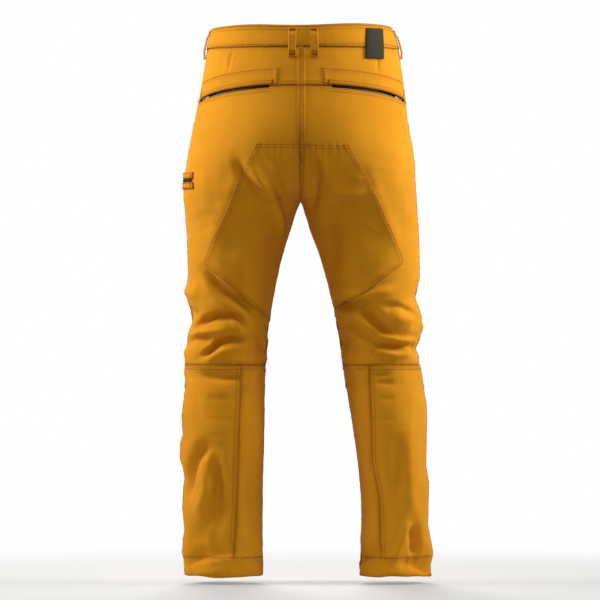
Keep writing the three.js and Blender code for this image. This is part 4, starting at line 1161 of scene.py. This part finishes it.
for word, side in SIDES.items():
    place = lambda t: level_skin(side, t, float(yoke_line(side, t)), -5.4)
    outer_t, inner_t = POCKET_SIDE_T + 0.012, POCKET_INNER_T[side] - 0.006
    track = Arc(place(outer_t), place((POCKET_SIDE_T + POCKET_INNER_T[side]) / 2), place(inner_t))
    zip_tape(f"zip_tape_back_{word}", f"back_pocket_{word}_zip", track, 0.0)

THIGH_Z = -294.0  # the thigh pocket's zip runs across the side seam here
THIGH_WELT_HALF = 68.0
thigh_mm = 0.01 / np.linalg.norm(skin_point(LEFT, 0.5, THIGH_Z) - skin_point(LEFT, 0.49, THIGH_Z))
THIGH_T = (0.5 - THIGH_WELT_HALF * thigh_mm, 0.5 + THIGH_WELT_HALF * thigh_mm)
track = Arc(*(level_skin(LEFT, 0.5 + mm * thigh_mm, THIGH_Z, 5.4) for mm in (-62.0, 0.0, 62.0)))
zip_tape("zip_tape_thigh", "thigh_pocket_zip", track, -2.6, wide=8.0)
for word, way in (("upper", 1), ("lower", -1)):
    top, bottom = sorted((THIGH_Z + way * 15.4, THIGH_Z + way * 3.4), reverse=True)
    lips = Panel(LEFT, *THIGH_T, top, bottom, dict(top="fold", bottom="fold", start="fold", end="fold"), off=3.8,
                 gather=0.4)
    obj = lips.build(f"cloth_thigh_welt_{word}", thick=3.4, pitch=1.6)
    finish_piece(obj, [f"thigh_pocket_welt_{word}"], "root")
    lips.sew("root", "top", "bottom", rows=(1.8,))
    for t_tack in (THIGH_T[0] + 0.01, THIGH_T[1] - 0.01):
        lips.tack(t_tack, THIGH_Z + way * 6, 2.4, long=11)
thigh_bag = Panel(LEFT, *THIGH_T, THIGH_Z - 14.0, THIGH_Z - 170.0, {}, off=-4.4)
obj = thigh_bag.build("cloth_thigh_bag", thick=1.6, look=LINING, pitch=4.0)
finish_piece(obj, ["thigh_pocket_bag"], "root")
fly_zip_z = np.array([BAND_SEAM - 4, FLY_BOTTOM + 22])
fly_zip_ends = across_middle(np.full(2, 12.0), fly_zip_z, np.zeros(2))[0] + np.array([0, 7.2, 0])
zip_tape("zip_tape_fly", "fly_zip", Line(*fly_zip_ends, np.array([0, -1.0, 0])), 0.0)


# ---- What repeats along a line: stitches, tacks and zip teeth
def repeat_tree(name, shape):
    """Copies of one shape along a line, turned to the line and to the cloth's normal."""
    tree = bpy.data.node_groups.new(name, "GeometryNodeTree")
    sockets = [("Lines", "NodeSocketGeometry"), ("Pitch", "NodeSocketFloat"), ("Size", "NodeSocketVector"),
               ("Unevenness", "NodeSocketFloat"), ("Seed", "NodeSocketInt"), ("Material", "NodeSocketMaterial")]
    for label, kind in sockets:
        tree.interface.new_socket(label, in_out="INPUT", socket_type=kind)
    tree.interface.new_socket("Copies", in_out="OUTPUT", socket_type="NodeSocketGeometry")
    given = node(tree, "NodeGroupInput").outputs
    curve = node(tree, "GeometryNodeMeshToCurve", {"Mesh": given["Lines"]})
    even = node(tree, "GeometryNodeResampleCurve", {"Curve": curve.outputs["Curve"], "Length": given["Pitch"]},
                mode="LENGTH")
    tangent = node(tree, "GeometryNodeInputTangent")
    normal = node(tree, "GeometryNodeInputNamedAttribute", data_type="FLOAT_VECTOR", Name="cloth_normal")
    turn = node(tree, "FunctionNodeAxesToRotation",
                {"Primary Axis": tangent.outputs["Tangent"], "Secondary Axis": normal.outputs["Attribute"]},
                primary_axis="X", secondary_axis="Z")
    uneven = node(tree, "FunctionNodeRandomValue", {"Seed": given["Seed"]}, data_type="FLOAT")
    spread = node(tree, "ShaderNodeMath", {0: uneven.outputs[1], 1: given["Unevenness"], 2: given["Unevenness"]},
                  operation="MULTIPLY_ADD")
    size = node(tree, "ShaderNodeVectorMath", {0: given["Size"]}, operation="SCALE")
    less = node(tree, "ShaderNodeMath", {1: spread.outputs[0]}, operation="SUBTRACT")
    less.inputs[0].default_value = 1.0
    tree.links.new(less.outputs[0], size.inputs["Scale"])
    copies = node(tree, "GeometryNodeInstanceOnPoints",
                  {"Points": even.outputs["Curve"], "Instance": shape(tree), "Rotation": turn.outputs["Rotation"],
                   "Scale": size.outputs[0]})
    real = node(tree, "GeometryNodeRealizeInstances", {"Geometry": copies.outputs["Instances"]})
    painted = node(tree, "GeometryNodeSetMaterial",
                   {"Geometry": real.outputs["Geometry"], "Material": given["Material"]})
    node(tree, "NodeGroupOutput", {"Copies": painted.outputs["Geometry"]})
    return tree


def bead(tree):
    return node(tree, "GeometryNodeMeshUVSphere", Segments=6, Rings=4, Radius=0.5).outputs["Mesh"]


def tooth(tree):
    return node(tree, "GeometryNodeMeshCube", Size=(1.0, 1.0, 1.0)).outputs["Mesh"]


STITCH_TREE, TOOTH_TREE = repeat_tree("stitches_along_lines", bead), repeat_tree("teeth_along_lines", tooth)


def along_lines(name, tree, rows, pitch, size, uneven, look):
    """One plain mesh of copies along several lines."""
    points = np.concatenate([p for p, _ in rows])
    normals = np.concatenate([n for _, n in rows])
    starts = np.cumsum([0] + [len(p) for p, _ in rows])
    runs = [np.arange(a, b - 1) for a, b in zip(starts, starts[1:])]
    edges = np.concatenate([np.stack([run, run + 1], -1) for run in runs])
    lines = bpy.data.meshes.new(name + "_lines")
    lines.from_pydata((points * MM).tolist(), edges.tolist(), [])
    lines.attributes.new("cloth_normal", "FLOAT_VECTOR", "POINT").data.foreach_set("vector", normals.ravel())
    holder = bpy.data.objects.new(name + "_lines", lines)
    bpy.context.scene.collection.objects.link(holder)
    repeat = holder.modifiers.new("repeat", "NODES")
    repeat.node_group = tree
    ids = {s.name: s.identifier for s in tree.interface.items_tree if s.in_out == "INPUT"}
    values = {"Pitch": pitch * MM, "Size": [v * MM for v in size], "Unevenness": uneven, "Seed": 11, "Material": look}
    for label, value in values.items():
        repeat[ids[label]] = value
    evaluated = holder.evaluated_get(bpy.context.evaluated_depsgraph_get())
    mesh = bpy.data.meshes.new_from_object(evaluated)
    bpy.data.objects.remove(holder)
    bpy.data.meshes.remove(lines)
    mesh.name = name
    mesh.shade_smooth() if tree is STITCH_TREE else mesh.shade_flat()
    obj = bpy.data.objects.new(name, mesh)
    bpy.context.scene.collection.objects.link(obj)
    return obj


# Real thread is about 0.5 mm thick; the stitches are drawn 1.35 mm wide so that they show
for where, rows in ROWS_OF_STITCHES.items():
    label = {LEFT: "left_leg", RIGHT: "right_leg"}.get(where, where)
    stitches = along_lines(f"stitches_{label}", STITCH_TREE, rows, 4.6, (3.6, 1.35, 0.8), 0.08, THREAD)
    bend_with(stitches) if where in (LEFT, RIGHT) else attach(stitches, where)
tacks = along_lines("bar_tacks", STITCH_TREE, TACKS, 0.8, (1.2, 0.55, 0.6), 0.05, THREAD)
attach(tacks, "root")
teeth = along_lines("zip_teeth", TOOTH_TREE, TEETH, 2.2, (1.15, 2.5, 1.6), 0.0, TEETH_RESIN)
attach(teeth, "root")

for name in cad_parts:  # the metal pieces are the frame's own
    if name.endswith(("_slider", "_pull")) or name.startswith("press_stud"):
        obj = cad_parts[name]
        obj.data.materials.clear()
        obj.data.materials.append(BRASS)


# ---- The floor: a pale disc that fades out round its edge
FLOOR_RADIUS, FLOOR_DROP = 1800.0, 14.0
turns = np.linspace(0, 2 * math.pi, 65)[:-1]
rim = np.stack([FLOOR_RADIUS * np.cos(turns), FLOOR_RADIUS * np.sin(turns), np.full(64, HEM - FLOOR_DROP)], -1)
paint, floor_tree, floor_shader = material("floor_paint", "#8c8b88", 0.9)
floor_shader.inputs["Emission Color"].default_value = (1, 1, 1, 1)
floor_shader.inputs["Emission Strength"].default_value = 0.3
place = node(floor_tree, "ShaderNodeTexCoord")
reach = node(floor_tree, "ShaderNodeVectorMath", {0: place.outputs["Object"]}, operation="LENGTH")
fade = node(floor_tree, "ShaderNodeMapRange", {"Value": reach.outputs["Value"]}, interpolation_type="SMOOTHSTEP",
            From_Min=1.15, From_Max=1.75, To_Min=1.0, To_Max=0.0)
floor_tree.links.new(fade.outputs["Result"], floor_shader.inputs["Alpha"])
new_mesh("floor", rim, [[list(range(64))]], paint, smooth=False)

# ---- Light and camera
def softbox(name, place, target, size, power, spread=180.0):
    light = bpy.data.lights.new(name, "AREA")
    light.shape, light.size, light.size_y = "RECTANGLE", size[0], size[1]
    light.energy, light.spread = power, math.radians(spread)
    obj = bpy.data.objects.new(name, light)
    obj.location = place
    obj.rotation_euler = (Vector(target) - Vector(place)).to_track_quat("-Z", "Y").to_euler()
    bpy.context.scene.collection.objects.link(obj)


softbox("softbox_left", (1.9, 0.03, 0.5), (0, 0, -0.12), (0.9, 1.0), 21, spread=110)
softbox("softbox_right", (-1.9, 0.03, 0.5), (0, 0, -0.12), (0.9, 1.0), 22.5, spread=110)
softbox("softbox_front", (0.3, -3.0, 0.4), (0, 0, -0.4), (1.6, 1.6), 38, spread=100)
softbox("softbox_top", (0, 0.8, 1.3), (0, 0, -0.2), (1.1, 0.5), 7.5)
softbox("softbox_fill", (0, 3.2, 0.1), (0, 0, -0.32), (1.2, 0.8), 3.2, spread=80)

# The room behind: white to the camera, and dim to the cloth
world = bpy.data.worlds.new("studio")
bpy.context.scene.world = world
world.use_nodes = True
sky = world.node_tree
white = node(sky, "ShaderNodeBackground", Color=(1, 1, 1, 1), Strength=1.0)
dim = sky.nodes["Background"]
dim.inputs["Color"].default_value = (1, 1, 1, 1)
dim.inputs["Strength"].default_value = 0.14
seen = node(sky, "ShaderNodeLightPath")
either = node(sky, "ShaderNodeMixShader", {0: seen.outputs["Is Camera Ray"], 1: dim.outputs[0], 2: white.outputs[0]})
sky.links.new(either.outputs[0], sky.nodes["World Output"].inputs["Surface"])
bpy.context.scene.view_settings.view_transform = "Standard"

VIEW_WIDTH, DISTANCE = 1.140, 9.0  # metres across the view at the trousers, and how far off they are
camera_data = bpy.data.cameras.new("camera")
camera = bpy.data.objects.new("camera", camera_data)
bpy.context.scene.collection.objects.link(camera)
camera_data.sensor_width = 36
camera_data.lens = 36 * DISTANCE / VIEW_WIDTH
camera_data.clip_end = 60
camera.location = (0.001, DISTANCE + 0.05, -0.5206)
camera.rotation_euler = (math.pi / 2, 0, math.pi)
bpy.context.scene.camera = camera
